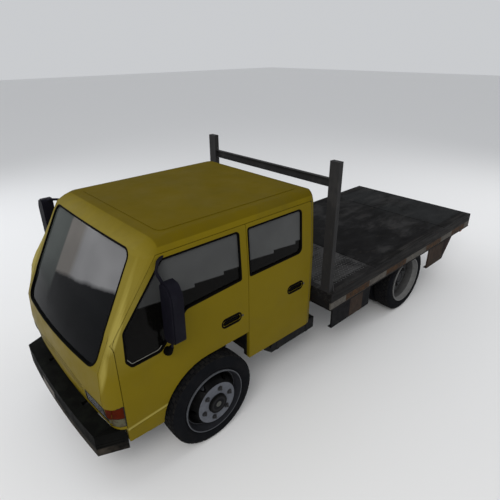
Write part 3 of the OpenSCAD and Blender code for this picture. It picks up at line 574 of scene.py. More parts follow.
def roof_edges(body, pale):
    """The roof: its front and side falls keep the body's paint, with a painted highlight towards the
    windscreen.
    """
    def tint(tree, place, base):
        _, y, z = split_place(tree, place)
        front = ramp(tree, y, AXLE_Y - 0.360, AXLE_Y - 0.372)
        fall = ramp(tree, z, ROOF_EDGE_Z, ROOF_EDGE_Z - 0.008)
        base = blend_colour(tree, calc(tree, "MAXIMUM", front, fall), base, body)
        # Painted highlight towards the windscreen
        light = times(tree, ramp(tree, y, AXLE_Y - 0.36, AXLE_Y - 0.50), 0.30)
        return blend_colour(tree, light, base, pale)
    return tint


def long_streaks(tree, place):
    """Scratches that run lengthwise."""
    mapping = node(tree, "ShaderNodeMapping")
    mapping.inputs["Scale"].default_value = (34.0, 0.7, 34.0)
    tree.links.new(place, mapping.inputs["Vector"])
    return ramp(tree, noise(tree, mapping.outputs["Vector"], 1.0, 3.0), 0.50, 0.62)


RAIL_FACE_X = 1.060
RAIL_END_Y = 5.27
RAIL_SCRATCH = (0.032, 0.030, 0.028)
RAIL_BARE = (0.104, 0.096, 0.084)
RAIL_SEAM = (0.012, 0.012, 0.012)


def rail_bands(tree, place, base):
    """Deck edge: dark above, with long scratches, and pale where its tape has gone."""
    x, y, z = split_place(tree, place)
    outer = ramp(tree, size_of(tree, x), RAIL_FACE_X, RAIL_FACE_X + 0.006)
    outer = calc(tree, "MAXIMUM", outer, ramp(tree, y, AXLE_Y + RAIL_END_Y, AXLE_Y + RAIL_END_Y + 0.01))
    pale = times(tree, band(tree, z, 0.812, 0.898, 0.003), outer)
    seam = band(tree, z, 0.936, 0.944, 0.002)
    upper = times(tree, ramp(tree, z, 0.900, 0.910), long_streaks(tree, place))
    base = blend_colour(tree, times(tree, upper, 0.5), base, RAIL_SCRATCH)
    mottled = ramp(tree, noise(tree, place, 30.0, 5.0), 0.3, 0.7, 0.45, 1.0)
    base = blend_colour(tree, times(tree, pale, mottled), base, RAIL_BARE)
    return blend_colour(tree, times(tree, seam, 0.8), base, RAIL_SEAM)


# The deck's two cross seams, and the colours of its worn steel
DECK_SEAMS = (2.5245, 4.4125)
SEAM_HALF = 0.008
SEAM_BLACK = (0.002, 0.002, 0.002)
FRONT_PLATE = (0.046, 0.0455, 0.046)
REAR_END = (0.024, 0.026, 0.027)
BORDER_DARK = (0.0055, 0.0050, 0.0052)
BORDER_SCRATCH = (0.034, 0.032, 0.030)
BORDER_LINE = (0.003, 0.003, 0.003)


def deck_plates(tree, place, base):
    """Deck floor: a paler front plate, a paler rear end, dark borders and black seams."""
    x, y, _ = split_place(tree, place)
    front = ramp(tree, y, AXLE_Y + 2.53, AXLE_Y + 2.51)
    rear = ramp(tree, y, AXLE_Y + 4.25, AXLE_Y + 4.6)
    base = blend_colour(tree, times(tree, front, 0.9), base, FRONT_PLATE)
    base = blend_colour(tree, times(tree, rear, 0.40), base, REAR_END)
    width = size_of(tree, x)
    border = ramp(tree, width, 0.935, 0.939)
    line = band(tree, width, 0.925, 0.937, 0.002)
    base = blend_colour(tree, times(tree, border, 0.85), base, BORDER_DARK)
    scratches = times(tree, long_streaks(tree, place), times(tree, border, 0.6))
    base = blend_colour(tree, scratches, base, BORDER_SCRATCH)
    for seam in DECK_SEAMS:
        gap = band(tree, y, AXLE_Y + seam - SEAM_HALF, AXLE_Y + seam + SEAM_HALF, 0.003)
        base = blend_colour(tree, gap, base, SEAM_BLACK)
    return blend_colour(tree, line, base, BORDER_LINE)


def lamp_halves(tree, place, base):
    """Corner lamp: amber above, pale below, with a dark line between."""
    pale = (0.080, 0.078, 0.050)
    dark = (0.02, 0.012, 0.010)
    _, _, z = split_place(tree, place)
    base = blend_colour(tree, ramp(tree, z, 0.817, 0.815), base, pale)
    return blend_colour(tree, band(tree, z, 0.812, 0.820, 0.001), base, dark)


def lamp_foot(tree, place, base):
    """Headlamp: a white lower edge, and a dark upper one."""
    white = (0.26, 0.265, 0.27)
    dark = (0.06, 0.062, 0.07)
    slope = 0.255
    x, _, z = split_place(tree, place)
    line = calc(tree, "ADD", z, times(tree, size_of(tree, x), slope))
    base = blend_colour(tree, ramp(tree, line, 1.005, 0.997), base, white)
    return blend_colour(tree, ramp(tree, line, 1.062, 1.082), base, dark)


def tail_bands(tree, place, base):
    """Tail lamp: amber outside, red in the middle, white inside."""
    amber = (0.26, 0.055, 0.01)
    white = (0.20, 0.20, 0.18)
    width = size_of(tree, split_place(tree, place)[0])
    base = blend_colour(tree, ramp(tree, width, 0.924, 0.926), base, amber)
    return blend_colour(tree, ramp(tree, width, 0.836, 0.834), base, white)


def bumper_wear(tree, place, base):
    """Bumper: a brown lower lip of scuffs and painted highlight, and greenish grime on top."""
    scuffs_and_highlight = (0.048, 0.040, 0.032)
    grime = (0.010, 0.012, 0.009)
    _, _, z = split_place(tree, place)
    patchy = ramp(tree, noise(tree, place, 5.0, 5.0), 0.40, 0.62)
    # The lower lip's pale band is scuffs and a painted highlight
    lip = times(tree, band(tree, z, 0.475, 0.545, 0.006), patchy)
    base = blend_colour(tree, times(tree, lip, 0.8), base, scuffs_and_highlight)
    top = times(tree, ramp(tree, z, 0.684, 0.687), ramp(tree, noise(tree, place, 9.0, 5.0), 0.45, 0.7))
    return blend_colour(tree, times(tree, top, 0.5), base, grime)


def wheel_rings(y, z, stops):
    """Rings of colour round a hub at y, z: stops are (outer radius, colour), with short blends between."""
    edge = 0.0015

    def tint(tree, place, base):
        away = node(tree, "ShaderNodeVectorMath", operation="SUBTRACT")
        away.inputs[1].default_value = (0.0, y, z)
        flat = node(tree, "ShaderNodeVectorMath", operation="MULTIPLY")
        flat.inputs[1].default_value = (0.0, 1.0, 1.0)
        length = node(tree, "ShaderNodeVectorMath", operation="LENGTH")
        tree.links.new(place, away.inputs[0])
        tree.links.new(away.outputs[0], flat.inputs[0])
        tree.links.new(flat.outputs[0], length.inputs[0])
        made = node(tree, "ShaderNodeValToRGB")
        marks = made.color_ramp.elements
        reach = stops[-1][0]
        inner = 0.0
        places = []
        for radius, colour in stops:
            places += [(inner / reach, colour), ((radius - edge) / reach, colour)]
            inner = radius
        marks[0].color = shade(places[0][1], 1.0)
        marks[1].color = shade(places[-1][1], 1.0)
        for position, colour in places[1:-1]:
            marks.new(position).color = shade(colour, 1.0)
        tree.links.new(times(tree, length.outputs["Value"], 1.0 / reach), made.inputs["Fac"])
        worn = ramp(tree, noise(tree, place, 24.0, 4.0), 0.35, 0.7, 0.86, 1.08)
        scaled = node(tree, "ShaderNodeVectorMath", operation="SCALE")
        tree.links.new(made.outputs["Color"], scaled.inputs[0])
        tree.links.new(worn, scaled.inputs["Scale"])
        return scaled.outputs[0]
    return tint


def skirt_patches(tree, place, base):
    """Side skirts: a pale brown field on each, and rust towards the tail."""
    brown = (0.040, 0.027, 0.020)
    rusty = (0.036, 0.016, 0.012)
    _, y, _ = split_place(tree, place)
    worn = ramp(tree, noise(tree, place, 8.0, 5.0), 0.3, 0.65, 0.45, 1.0)
    first = band(tree, y, AXLE_Y + 2.0, AXLE_Y + 2.26, 0.004)
    second = band(tree, y, AXLE_Y + 3.98, AXLE_Y + 4.447, 0.004)
    both = times(tree, calc(tree, "MAXIMUM", first, second), worn)
    base = blend_colour(tree, both, base, brown)
    rust = times(tree, ramp(tree, y, AXLE_Y + 4.45, AXLE_Y + 4.5), worn)
    return blend_colour(tree, times(tree, rust, 0.5), base, rusty)


finishes = {}
DIRT = (0.055, 0.046, 0.034)
RUST = (0.085, 0.035, 0.014)
SOOT = (0.008, 0.008, 0.008)
# Rings of a wheel's face, from the hub outwards: outer radius, colour
# On the front wheel the near-black band from 0.213 to 0.287 is painted shade in the hand holes
FRONT_RINGS = (
    (0.030, (0.075, 0.076, 0.070)), (0.060, (0.005, 0.005, 0.006)), (0.078, (0.013, 0.013, 0.014)),
    (0.101, (0.003, 0.003, 0.003)), (0.213, (0.100, 0.106, 0.122)), (0.287, (0.0015, 0.0015, 0.0016)),
    (0.292, (0.060, 0.062, 0.068)), (0.322, (0.021, 0.022, 0.026)), (0.340, (0.078, 0.082, 0.090)))
REAR_RINGS = (
    (0.060, (0.030, 0.030, 0.032)), (0.105, (0.008, 0.008, 0.009)), (0.205, (0.060, 0.061, 0.064)),
    (0.232, (0.020, 0.020, 0.022)), (0.285, (0.055, 0.056, 0.058)), (0.300, (0.060, 0.060, 0.060)),
    (0.340, (0.150, 0.150, 0.148)))


def make_finishes(paint):
    """Makes every finish of the truck, in the colours of the paint settings."""
    f = finishes
    # The paler yellow of the painted highlights
    pale = (0.27, 0.226, 0.055)
    yellow = tuple(paint.body_colour)
    chips = ((0.05, 0.03, 0.012), 55.0, 0.69, 0.75, 0.6)
    f["yellow"] = finish("cab_paint", yellow, 0.40, spread=0.05, scale=1.6,
                         stains=(((0.105, 0.082, 0.018), 3.5, 0.52, 0.85, 0.30), chips),
                         low=(DIRT, 0.80, 0.22), grain=(70.0, 0.02), specular=0.03, tint=painted_highlights(pale))
    f["roof"] = finish("roof_paint", tuple(paint.roof_colour), 0.62, spread=0.06, scale=1.3,
                       stains=(((0.070, 0.056, 0.010), 2.2, 0.42, 0.75, 0.45), chips), grain=(70.0, 0.03),
                       specular=0.02, tint=roof_edges(yellow, pale))
    f["rail"] = finish("deck_rail", tuple(paint.rail_colour), 0.72, spread=0.16, scale=7.0,
                       stains=((SOOT, 5.0, 0.5, 0.70, 0.7), (RUST, 13.0, 0.62, 0.75, 0.3)),
                       grain=(160.0, 0.12), stretch=(1.0, 0.25, 1.6), specular=0.08, tint=rail_bands)
    f["tape"] = finish("marker_tape", tuple(paint.tape_colour), 0.65, spread=0.22, scale=16.0,
                       stains=(((0.020, 0.013, 0.009), 17.0, 0.46, 0.58, 0.85),
                               ((0.07, 0.058, 0.045), 23.0, 0.60, 0.68, 0.6)),
                       grain=(200.0, 0.05), specular=0.08)
    f["deck"] = finish("deck_steel", tuple(paint.deck_colour), 0.8, spread=0.16, scale=2.4,
                       stains=(((0.027, 0.0262, 0.0262), 2.6, 0.50, 0.62, 0.75),
                               ((0.003, 0.003, 0.003), 3.7, 0.50, 0.62, 0.75),
                               ((0.030, 0.026, 0.021), 11.0, 0.60, 0.72, 0.4)),
                       grain=(120.0, 0.12), stretch=(1.0, 0.45, 1.0), specular=0.05, tint=deck_plates)
    f["tread_bars"] = finish("tread_bars", (0.052, 0.052, 0.053), 0.6, spread=0.15, scale=5.0,
                             stains=((SOOT, 4.0, 0.5, 0.75, 0.6),), grain=(120.0, 0.05), specular=0.12)
    f["skirt"] = finish("skirt_steel", (0.007, 0.007, 0.008), 0.75, spread=0.16, scale=6.0,
                        stains=(((0.03, 0.026, 0.022), 6.0, 0.55, 0.75, 0.5),), grain=(140.0, 0.1),
                        specular=0.06, tint=skirt_patches)
    f["post"] = finish("headboard_steel", (0.022, 0.0215, 0.022), 0.62, spread=0.14, scale=6.0,
                       stains=((RUST, 16.0, 0.63, 0.76, 0.4), ((0.07, 0.065, 0.06), 9.0, 0.55, 0.75, 0.35)),
                       grain=(150.0, 0.08), stretch=(1.0, 1.0, 0.3), specular=0.10)
    f["chassis"] = finish("chassis_black", (0.006, 0.006, 0.0065), 0.62, spread=0.15, scale=5.0,
                          stains=((DIRT, 7.0, 0.52, 0.75, 0.30),), grain=(150.0, 0.08), specular=0.08)
    f["cast"] = finish("cast_iron", (0.024, 0.021, 0.019), 0.72, metal=0.3, spread=0.18, scale=12.0,
                       stains=((RUST, 14.0, 0.55, 0.72, 0.45), (SOOT, 5.0, 0.5, 0.7, 0.5)),
                       grain=(240.0, 0.2))
    f["bolt"] = finish("bolt_steel", (0.060, 0.056, 0.052), 0.5, metal=0.7, spread=0.15, scale=30.0,
                       stains=((RUST, 40.0, 0.5, 0.7, 0.5),), grain=(200.0, 0.08))
    f["bumper"] = finish("bumper_plastic", (0.0028, 0.0029, 0.0026), 0.68, spread=0.15, scale=4.0,
                         stains=(((0.008, 0.008, 0.007), 6.0, 0.52, 0.75, 0.5),), grain=(260.0, 0.12),
                         specular=0.03, tint=bumper_wear)
    f["black"] = finish("moulded_black", (0.007, 0.007, 0.0072), 0.5, spread=0.12, scale=9.0,
                        stains=(((0.02, 0.02, 0.018), 11.0, 0.6, 0.75, 0.3),), grain=(300.0, 0.12),
                        specular=0.12)
    f["mirror_case"] = finish("mirror_case", (0.0050, 0.0047, 0.0080), 0.58, spread=0.14, scale=5.0,
                              grain=(280.0, 0.12), stains=(((0.018, 0.018, 0.024), 7.0, 0.55, 0.75, 0.35),),
                              stretch=(1.0, 1.0, 0.35), specular=0.05)
    f["mirror"] = finish("mirror_glass", (0.42, 0.44, 0.46), 0.06, metal=1.0, spread=0.03,
                         grain=(5.0, 0.0), rough_spread=0.02)
    f["rubber"] = finish("seal_rubber", (0.0022, 0.0020, 0.0018), 0.7, spread=0.12, scale=12.0,
                         stains=(((0.010, 0.009, 0.008), 14.0, 0.6, 0.8, 0.3),), grain=(300.0, 0.08),
                         specular=0.02)
    f["tyre"] = finish("tyre_rubber", (0.0046, 0.0050, 0.0062), 0.80, spread=0.12, scale=6.0,
                       stains=(((0.011, 0.010, 0.010), 5.0, 0.5, 0.75, 0.5),), grain=(260.0, 0.2),
                       specular=0.04)
    f["tread"] = finish("tread_rubber", (0.006, 0.006, 0.0065), 0.82, spread=0.14, scale=9.0,
                        stains=(((0.020, 0.018, 0.015), 9.0, 0.45, 0.7, 0.5),), grain=(200.0, 0.2),
                        specular=0.06)
    worn = (((0.030, 0.027, 0.024), 18.0, 0.58, 0.76, 0.35),)
    for name, y, rings in (("rim_front", AXLE_Y, FRONT_RINGS), ("rim_rear", REAR_Y, REAR_RINGS)):
        f[name] = finish(name, (0.1, 0.1, 0.11), 0.55, stains=worn, grain=(140.0, 0.08),
                         specular=0.05, tint=wheel_rings(y, HUB_Z, rings))
    f["hub"] = finish("hub_metal", (0.030, 0.030, 0.032), 0.5, metal=0.5, spread=0.15, scale=20.0,
                      stains=worn, grain=(160.0, 0.1))
    f["interior"] = finish("cab_plastic", (0.020, 0.020, 0.022), 0.75, spread=0.1, scale=4.0,
                           grain=(350.0, 0.2))
    f["lining"] = finish("cab_lining", (0.055, 0.052, 0.045), 0.85, spread=0.1, scale=3.0,
                         grain=(200.0, 0.15))
    f["cloth"] = finish("seat_cloth", (0.020, 0.021, 0.028), 0.92, spread=0.22, scale=45.0,
                        stains=(((0.034, 0.034, 0.038), 3.0, 0.5, 0.8, 0.4),), grain=(520.0, 0.5))
    f["seat_side"] = finish("seat_vinyl", (0.014, 0.014, 0.016), 0.6, spread=0.12, scale=9.0,
                            grain=(420.0, 0.25))
    f["screen"] = glass_finish("windscreen_glass", (0.0030, 0.0033, 0.0040), 0.93, screen_reflections,
                               specular=0.05)
    f["glass"] = glass_finish("window_glass", (0.0025, 0.0024, 0.0021), 0.92, side_reflections, specular=0.06)
    # A pale strip that paints a highlight by the front windows
    f["trim"] = finish("window_highlight", (0.20, 0.20, 0.17), 0.45, spread=0.15, scale=20.0,
                       grain=(200.0, 0.04))
    f["amber"] = finish("amber_lens", (0.056, 0.0060, 0.0010), 0.45, spread=0.14, scale=14.0,
                        stains=(((0.026, 0.005, 0.002), 20.0, 0.45, 0.65, 0.6),), grain=(30.0, 0.02),
                        specular=0.02, tint=lamp_halves, ribs=("Y", 0.0090, 0.35))
    f["lens"] = finish("headlamp_lens", (0.078, 0.080, 0.086), 0.25, coat=0.15, spread=0.12, scale=9.0,
                       stains=(((0.030, 0.031, 0.030), 12.0, 0.5, 0.68, 0.6),), grain=(30.0, 0.02),
                       specular=0.25, tint=lamp_foot, ribs=("X", 0.0120, 0.5))
    f["tail"] = finish("tail_lens", (0.12, 0.008, 0.007), 0.3, coat=0.1, spread=0.10, scale=12.0,
                       grain=(60.0, 0.03), specular=0.2, tint=tail_bands, ribs=("X", 0.0110, 0.4))
    f["plate"] = finish("blank_plate", (0.085, 0.072, 0.058), 0.6, spread=0.12, scale=12.0,
                        stains=(((0.035, 0.028, 0.022), 18.0, 0.5, 0.7, 0.5),), grain=(140.0, 0.04))


# Settings

class TRUCK_PG_paint(bpy.types.PropertyGroup):
    body_colour: FloatVectorProperty(
        name="Cab colour", description="Paint of the doors and panels", subtype="COLOR", size=3,
        min=0.0, max=1.0, default=(0.143, 0.105, 0.0048))
    roof_colour: FloatVectorProperty(
        name="Roof colour", description="Weathered paint of the roof", subtype="COLOR", size=3,
        min=0.0, max=1.0, default=(0.100, 0.072, 0.0025))
    rail_colour: FloatVectorProperty(
        name="Deck rail colour", description="Worn paint of the deck's edge rails", subtype="COLOR", size=3,
        min=0.0, max=1.0, default=(0.0078, 0.0073, 0.0074))
    deck_colour: FloatVectorProperty(
        name="Deck colour", description="Worn steel of the deck floor", subtype="COLOR", size=3,
        min=0.0, max=1.0, default=(0.0062, 0.0061, 0.0064))
    tape_colour: FloatVectorProperty(
        name="Tape colour", description="Old marker tape on the deck rails", subtype="COLOR", size=3,
        min=0.0, max=1.0, default=(0.044, 0.021, 0.008))


class TRUCK_PG_seals(bpy.types.PropertyGroup):
    width: FloatProperty(
        name="Seal width", description="Width of the rubber round a window", default=0.017,
        min=0.01, max=0.04, unit="LENGTH")
    height: FloatProperty(
        name="Seal height", description="How far the rubber stands out of the skin", default=0.004,
        min=0.001, max=0.01, unit="LENGTH")


class TRUCK_PG_seats(bpy.types.PropertyGroup):
    pressure: FloatProperty(
        name="Filling pressure", description="How hard the cushions are filled", default=4.0,
        min=1.0, max=8.0)
    swell: FloatProperty(
        name="Swell", description="The most that a cushion's cover moves as it fills", default=0.018,
        min=0.0, max=0.03, unit="LENGTH")


class TRUCK_PG_wheels(bpy.types.PropertyGroup):
    nuts: IntProperty(name="Nuts", description="Wheel nuts on each hub", default=6, min=4, max=12)
    nut_circle: FloatProperty(
        name="Nut circle", description="Radius of the circle of nuts", default=0.156,
        min=0.1, max=0.2, unit="LENGTH")
    nut_size: FloatProperty(
        name="Nut size", description="Half width of a nut", default=0.018,
        min=0.01, max=0.03, unit="LENGTH")
    blocks: IntProperty(name="Tread blocks", description="Blocks round a tyre", default=50, min=30, max=70)


class TRUCK_PG_deck(bpy.types.PropertyGroup):
    bar_pitch: FloatProperty(
        name="Tread bar pitch", description="Distance between the front plate's raised bars", default=0.046,
        min=0.03, max=0.1, unit="LENGTH")
    bar_height: FloatProperty(
        name="Tread bar height", description="How far the bars stand up", default=0.0018,
        min=0.0005, max=0.004, unit="LENGTH")


class TRUCK_PG_settings(bpy.types.PropertyGroup):
    paint: PointerProperty(type=TRUCK_PG_paint)
    seals: PointerProperty(type=TRUCK_PG_seals)
    seats: PointerProperty(type=TRUCK_PG_seats)
    wheels: PointerProperty(type=TRUCK_PG_wheels)
    deck: PointerProperty(type=TRUCK_PG_deck)


# Repeated small parts

def prism_tree(name, parts):
    """A geometry tree that sets stacked prisms on points."""
    tree = bpy.data.node_groups.new(name, "GeometryNodeTree")
    tree.interface.new_socket("Geometry", in_out="INPUT", socket_type="NodeSocketGeometry")
    ids = {}
    for label, kind in (("Width", "NodeSocketFloat"), ("Length", "NodeSocketFloat"),
                        ("Height", "NodeSocketFloat"), ("Material", "NodeSocketMaterial")):
        ids[label] = tree.interface.new_socket(label, in_out="INPUT", socket_type=kind).identifier
    tree.interface.new_socket("Geometry", in_out="OUTPUT", socket_type="NodeSocketGeometry")
    given = node(tree, "NodeGroupInput")
    output = node(tree, "NodeGroupOutput")
    both = node(tree, "GeometryNodeJoinGeometry")
    for sides, foot_radius, head_radius, foot, head in parts:
        cone = node(tree, "GeometryNodeMeshCone")
        cone.inputs["Vertices"].default_value = sides
        cone.inputs["Radius Bottom"].default_value = foot_radius
        cone.inputs["Radius Top"].default_value = head_radius
        cone.inputs["Depth"].default_value = head - foot
        moved = node(tree, "GeometryNodeTransform")
        moved.inputs["Translation"].default_value = (0.0, 0.0, foot)
        moved.inputs["Rotation"].default_value = (0.0, 0.0, math.pi / sides)
        tree.links.new(cone.outputs["Mesh"], moved.inputs["Geometry"])
        tree.links.new(moved.outputs["Geometry"], both.inputs[0])
    sizes = node(tree, "ShaderNodeCombineXYZ")
    for label, axis in (("Width", "X"), ("Length", "Y"), ("Height", "Z")):
        tree.links.new(given.outputs[label], sizes.inputs[axis])
    spots = node(tree, "GeometryNodeInstanceOnPoints")
    turns = []
    for label, axis, pivot in (("facing", "Z", "AUTO"), ("along", "Y", "Z")):
        read = node(tree, "GeometryNodeInputNamedAttribute", data_type="FLOAT_VECTOR")
        read.inputs["Name"].default_value = label
        turn = node(tree, "FunctionNodeAlignRotationToVector", axis=axis, pivot_axis=pivot)
        tree.links.new(read.outputs["Attribute"], turn.inputs["Vector"])
        turns.append(turn)
    tree.links.new(turns[0].outputs["Rotation"], turns[1].inputs["Rotation"])
    tree.links.new(given.outputs["Geometry"], spots.inputs["Points"])
    tree.links.new(both.outputs["Geometry"], spots.inputs["Instance"])
    tree.links.new(turns[1].outputs["Rotation"], spots.inputs["Rotation"])
    tree.links.new(sizes.outputs[0], spots.inputs["Scale"])
    realized = node(tree, "GeometryNodeRealizeInstances")
    painted = node(tree, "GeometryNodeSetMaterial")
    tree.links.new(spots.outputs["Instances"], realized.inputs["Geometry"])
    tree.links.new(realized.outputs["Geometry"], painted.inputs["Geometry"])
    tree.links.new(given.outputs["Material"], painted.inputs["Material"])
    tree.links.new(painted.outputs["Geometry"], output.inputs["Geometry"])
    return tree, ids


# Stacked prisms of each kind: sides, foot radius, head radius, foot, head
PRISMS = {
    "bolt": ((16, 1.5, 1.5, -0.2, 0.14), (6, 1.05, 1.05, 0.14, 0.75), (6, 1.05, 0.85, 0.75, 0.85),
             (10, 0.55, 0.50, 0.85, 1.35)),
    "rivet": ((12, 1.0, 0.9, -0.2, 0.45), (12, 0.9, 0.45, 0.45, 0.95), (12, 0.45, 0.05, 0.95, 1.0)),
    "block": ((4, 0.78, 0.66, -0.4, 1.0),),
    "bar": ((8, 0.5, 0.34, -0.3, 1.0),),
}
trees = {}


def grown_piece(name, kind, places, size, material, body):
    """Sets a kind of small prism of size (width, length, height) on places (point, facing, along)
    and keeps the result as a plain mesh."""
    if kind not in trees:
        trees[kind] = prism_tree(kind + "_heads", PRISMS[kind])
    tree, ids = trees[kind]
    seed = bpy.data.meshes.new(name + "_points")
    seed.from_pydata([tuple(p[0]) for p in places], [], [])
    for label, k in (("facing", 1), ("along", 2)):
        attribute = seed.attributes.new(label, "FLOAT_VECTOR", "POINT")
        attribute.data.foreach_set("vector", [c for p in places for c in p[k]])
    holder = bpy.data.objects.new(name + "_points", seed)
    bpy.context.scene.collection.objects.link(holder)
    mod = holder.modifiers.new("grow", "NODES")
    mod.node_group = tree
    for label, value in zip(("Width", "Length", "Height"), size):
        mod[ids[label]] = value
    mod[ids["Material"]] = material
    bpy.context.view_layer.update()
    mesh = plain_mesh(holder)
    mesh.name = name
    obj = bpy.data.objects.new(name, mesh)
    bpy.context.scene.collection.objects.link(obj)
    holder.modifiers.clear()
    bpy.data.objects.remove(holder)
    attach(obj, body)
    return obj


def spots_on(skin, starts, direction, along=UP):
    """Places where rays from the starts meet a surface."""
    found = []
    for start in starts:
        spot, normal = skin.hit(start, direction)
        if spot is not None:
            found.append((spot, normal, along))
    return found


# Seats

# Cushions: name, across, behind the front axle, above the ground, lean in degrees
SEATS = (
    ("driver_base", (160, 700), (-326, 138), (1080, 1163), 0),
    ("driver_back", (160, 700), (138, 232), (1024, 1620), -8),
    ("mate_base", (-700, -20), (-326, 138), (1080, 1163), 0),
    ("mate_back", (-700, -20), (138, 232), (1024, 1620), -8),
    ("rear_base", (-738, 738), (872, 1286), (985, 1135), 0),
    ("rear_back", (-738, 738), (1292, 1398), (1142, 1655), 0),
)
# What carries the cushions
SEAT_BOXES = (
    ("driver_box", (176, 684), (-316, 132), (1016, 1092)),
    ("mate_box", (-684, -36), (-316, 132), (1016, 1092)),
    ("rear_box", (-732, 732), (884, 1284), (737, 997)),
    ("rear_back_board", (-732, 732), (1296, 1399), (940, 1156)),
)
BACK_PIVOT = (0, 130, 1015)
CUSHION_CORNER = 0.024
BOX_CORNER = 0.012
# Room left for the filling, at a cushion's ends and at its other sides, in millimetres
END_ROOM = 5
FILL_ROOM = 13
CLOTH_GRID = 0.018
CLOTH_FRAMES = 20
# Sewn channels: distance between them and half width in millimetres, depth in metres
CHANNEL_PITCH = 150
CHANNEL_WIDTH = 14.0
CHANNEL_DEPTH = 0.007


def seat_turn(angle):
    """The lean of a back about the foot of its front face."""
    pivot = at(*BACK_PIVOT)
    turn = Matrix.Rotation(math.radians(angle), 4, "X")
    return Matrix.Translation(pivot) @ turn @ Matrix.Translation(-pivot)


def rounded_block(name, xs, ys, zs, radius, material):
    """A block with rounded edges between two corners given in millimetres."""
    bm = bmesh.new()
    bmesh.ops.create_cube(bm, size=1.0)
    low = at(xs[0], ys[0], zs[0])
    high = at(xs[1], ys[1], zs[1])
    for v in bm.verts:
        v.co = Vector([low[k] + (v.co[k] + 0.5) * (high[k] - low[k]) for k in range(3)])
    bmesh.ops.bevel(bm, geom=bm.verts[:] + bm.edges[:], offset=radius, segments=4, profile=0.5,
                    affect="EDGES")
    mesh = bpy.data.meshes.new(name)
    bm.to_mesh(mesh)
    bm.free()
    return smooth(keep(name, mesh, material), 40)


def filled(pads, settings):
    """Fills all pads at once as cloth under pressure, and returns their new points."""
    scene = bpy.context.scene
    copies = []
    for pad in pads:
        copy = keep(pad.name + "_cloth", pad.data.copy(), pad.data.materials[0])
        remesh = copy.modifiers.new("remesh", "REMESH")
        remesh.mode = "VOXEL"
        remesh.voxel_size = CLOTH_GRID
        bpy.context.view_layer.update()
        mesh = plain_mesh(copy)
        copy.modifiers.clear()
        copy.data = mesh
        cloth = copy.modifiers.new("cloth", "CLOTH").settings
        cloth.use_pressure = True
        cloth.uniform_pressure_force = settings.pressure
        cloth.quality = 4
        cloth.effector_weights.gravity = 0.0
        copies.append((copy, [v.co.copy() for v in mesh.vertices]))
    for moment in range(1, CLOTH_FRAMES + 1):
        scene.frame_set(moment)
    results = []
    for copy, start in copies:
        mesh = plain_mesh(copy)
        for v, old in zip(mesh.vertices, start):
            move = v.co - old
            if move.length > settings.swell:
                v.co = old + move.normalized() * settings.swell
        copy.modifiers.clear()
        bpy.data.objects.remove(copy)
        results.append(mesh)
    scene.frame_set(1)
    return results


def channelled(mesh, xs, faces_up):
    """Presses sewn channels into a pad's face, which looks up or forwards."""
    width = xs[1] - xs[0]
    count = max(3, round(width / CHANNEL_PITCH))
    axis, way = (2, 1.0) if faces_up else (1, -1.0)
    middle = sum(v.co[axis] for v in mesh.vertices) / len(mesh.vertices)
    for v in mesh.vertices:
        if (v.co[axis] - middle) * way > 0:
            u = (v.co.x * 1000 - xs[0]) / width * count
            away = abs(u - round(u)) * width / count
            if min(u, count - u) > 0.5:
                v.co[axis] -= way * CHANNEL_DEPTH * math.exp(-(away / CHANNEL_WIDTH) ** 2)


class TRUCK_OT_seats(bpy.types.Operator):
    """Fills the seats' cushions and sets them on their boxes"""
    bl_idname = "truck.seats"
    bl_label = "Seats"

    def execute(self, context):
        settings = context.scene.truck.seats
        pads = []
        for name, xs, ys, zs, _ in SEATS:
            pads.append(rounded_block(name, (xs[0] + END_ROOM, xs[1] - END_ROOM),
                                      (ys[0] + FILL_ROOM, ys[1] - FILL_ROOM),
                                      (zs[0] + FILL_ROOM, zs[1] - FILL_ROOM),
                                      CUSHION_CORNER, finishes["cloth"]))
        for pad, mesh, (name, xs, ys, zs, lean) in zip(pads, filled(pads, settings), SEATS):
            low = at(xs[0], ys[0], zs[0])
            high = at(xs[1], ys[1], zs[1])
            channelled(mesh, xs, "base" in name)
            turn = seat_turn(lean)
            for v in mesh.vertices:
                v.co = turn @ Vector([min(max(v.co[k], low[k]), high[k]) for k in range(3)])
            mesh.materials.clear()
            mesh.materials.append(finishes["cloth"])
            mesh.shade_smooth()
            bpy.data.objects.remove(pad)
            cushion = keep("seat_" + name, mesh, finishes["cloth"])
            subdivided = cushion.modifiers.new("smooth", "SUBSURF")
            subdivided.levels = 1
            subdivided.render_levels = 1
            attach(cushion, body_of("seats"))
            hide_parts("seats")
        for name, xs, ys, zs in SEAT_BOXES:
            made = rounded_block("seat_" + name, xs, ys, zs, BOX_CORNER, finishes["seat_side"])
            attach(made, body_of("seats"))
            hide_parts("seats")
        return {"FINISHED"}


# Cab

# Outlines in millimetres, each point with its corner's radius: across and above the ground for the
# front and back, behind the front axle and above the ground for the sides
SCREEN = ((-748, 1284, 85), (748, 1284, 85), (722, 2140, 70), (-722, 2140, 70))
BACK_OPENING = ((-620, 1560, 70), (620, 1560, 70), (600, 2030, 70), (-600, 2030, 70))
FRONT_WINDOW = ((412, 1608, 12), (412, 2062, 30), (-357, 2064, 40), (-750, 1600, 60), (-762, 1340, 40),
                (-722, 1278, 30), (-470, 1284, 60), (-190, 1574, 70))
REAR_WINDOW = ((530, 1606, 12), (1234, 1614, 50), (1234, 2062, 40), (530, 2062, 12))
HEADLAMP = ((530, 842, 10), (812, 770, 14), (806, 925, 14), (545, 958, 10))
CORNER_LAMP = ((-935, 716, 4), (-849, 726, 4), (-849, 942, 4), (-935, 924, 4))
MIRROR_HEAD = ((958, 1415, 10), (1010, 1402, 20), (1112, 1430, 24), (1118, 1850, 30), (1070, 1935, 30),
               (962, 1945, 16))
MIRROR_FEET = {
    "left": ((916, -415, 1262), (932, -415, 1266), (956, -415, 1278), (978, -413, 1306),
             (1000, -410, 1345)),
    "right": ((905, -560, 1262), (922, -560, 1266), (948, -560, 1278), (973, -560, 1308),
              (996, -560, 1348)),
}
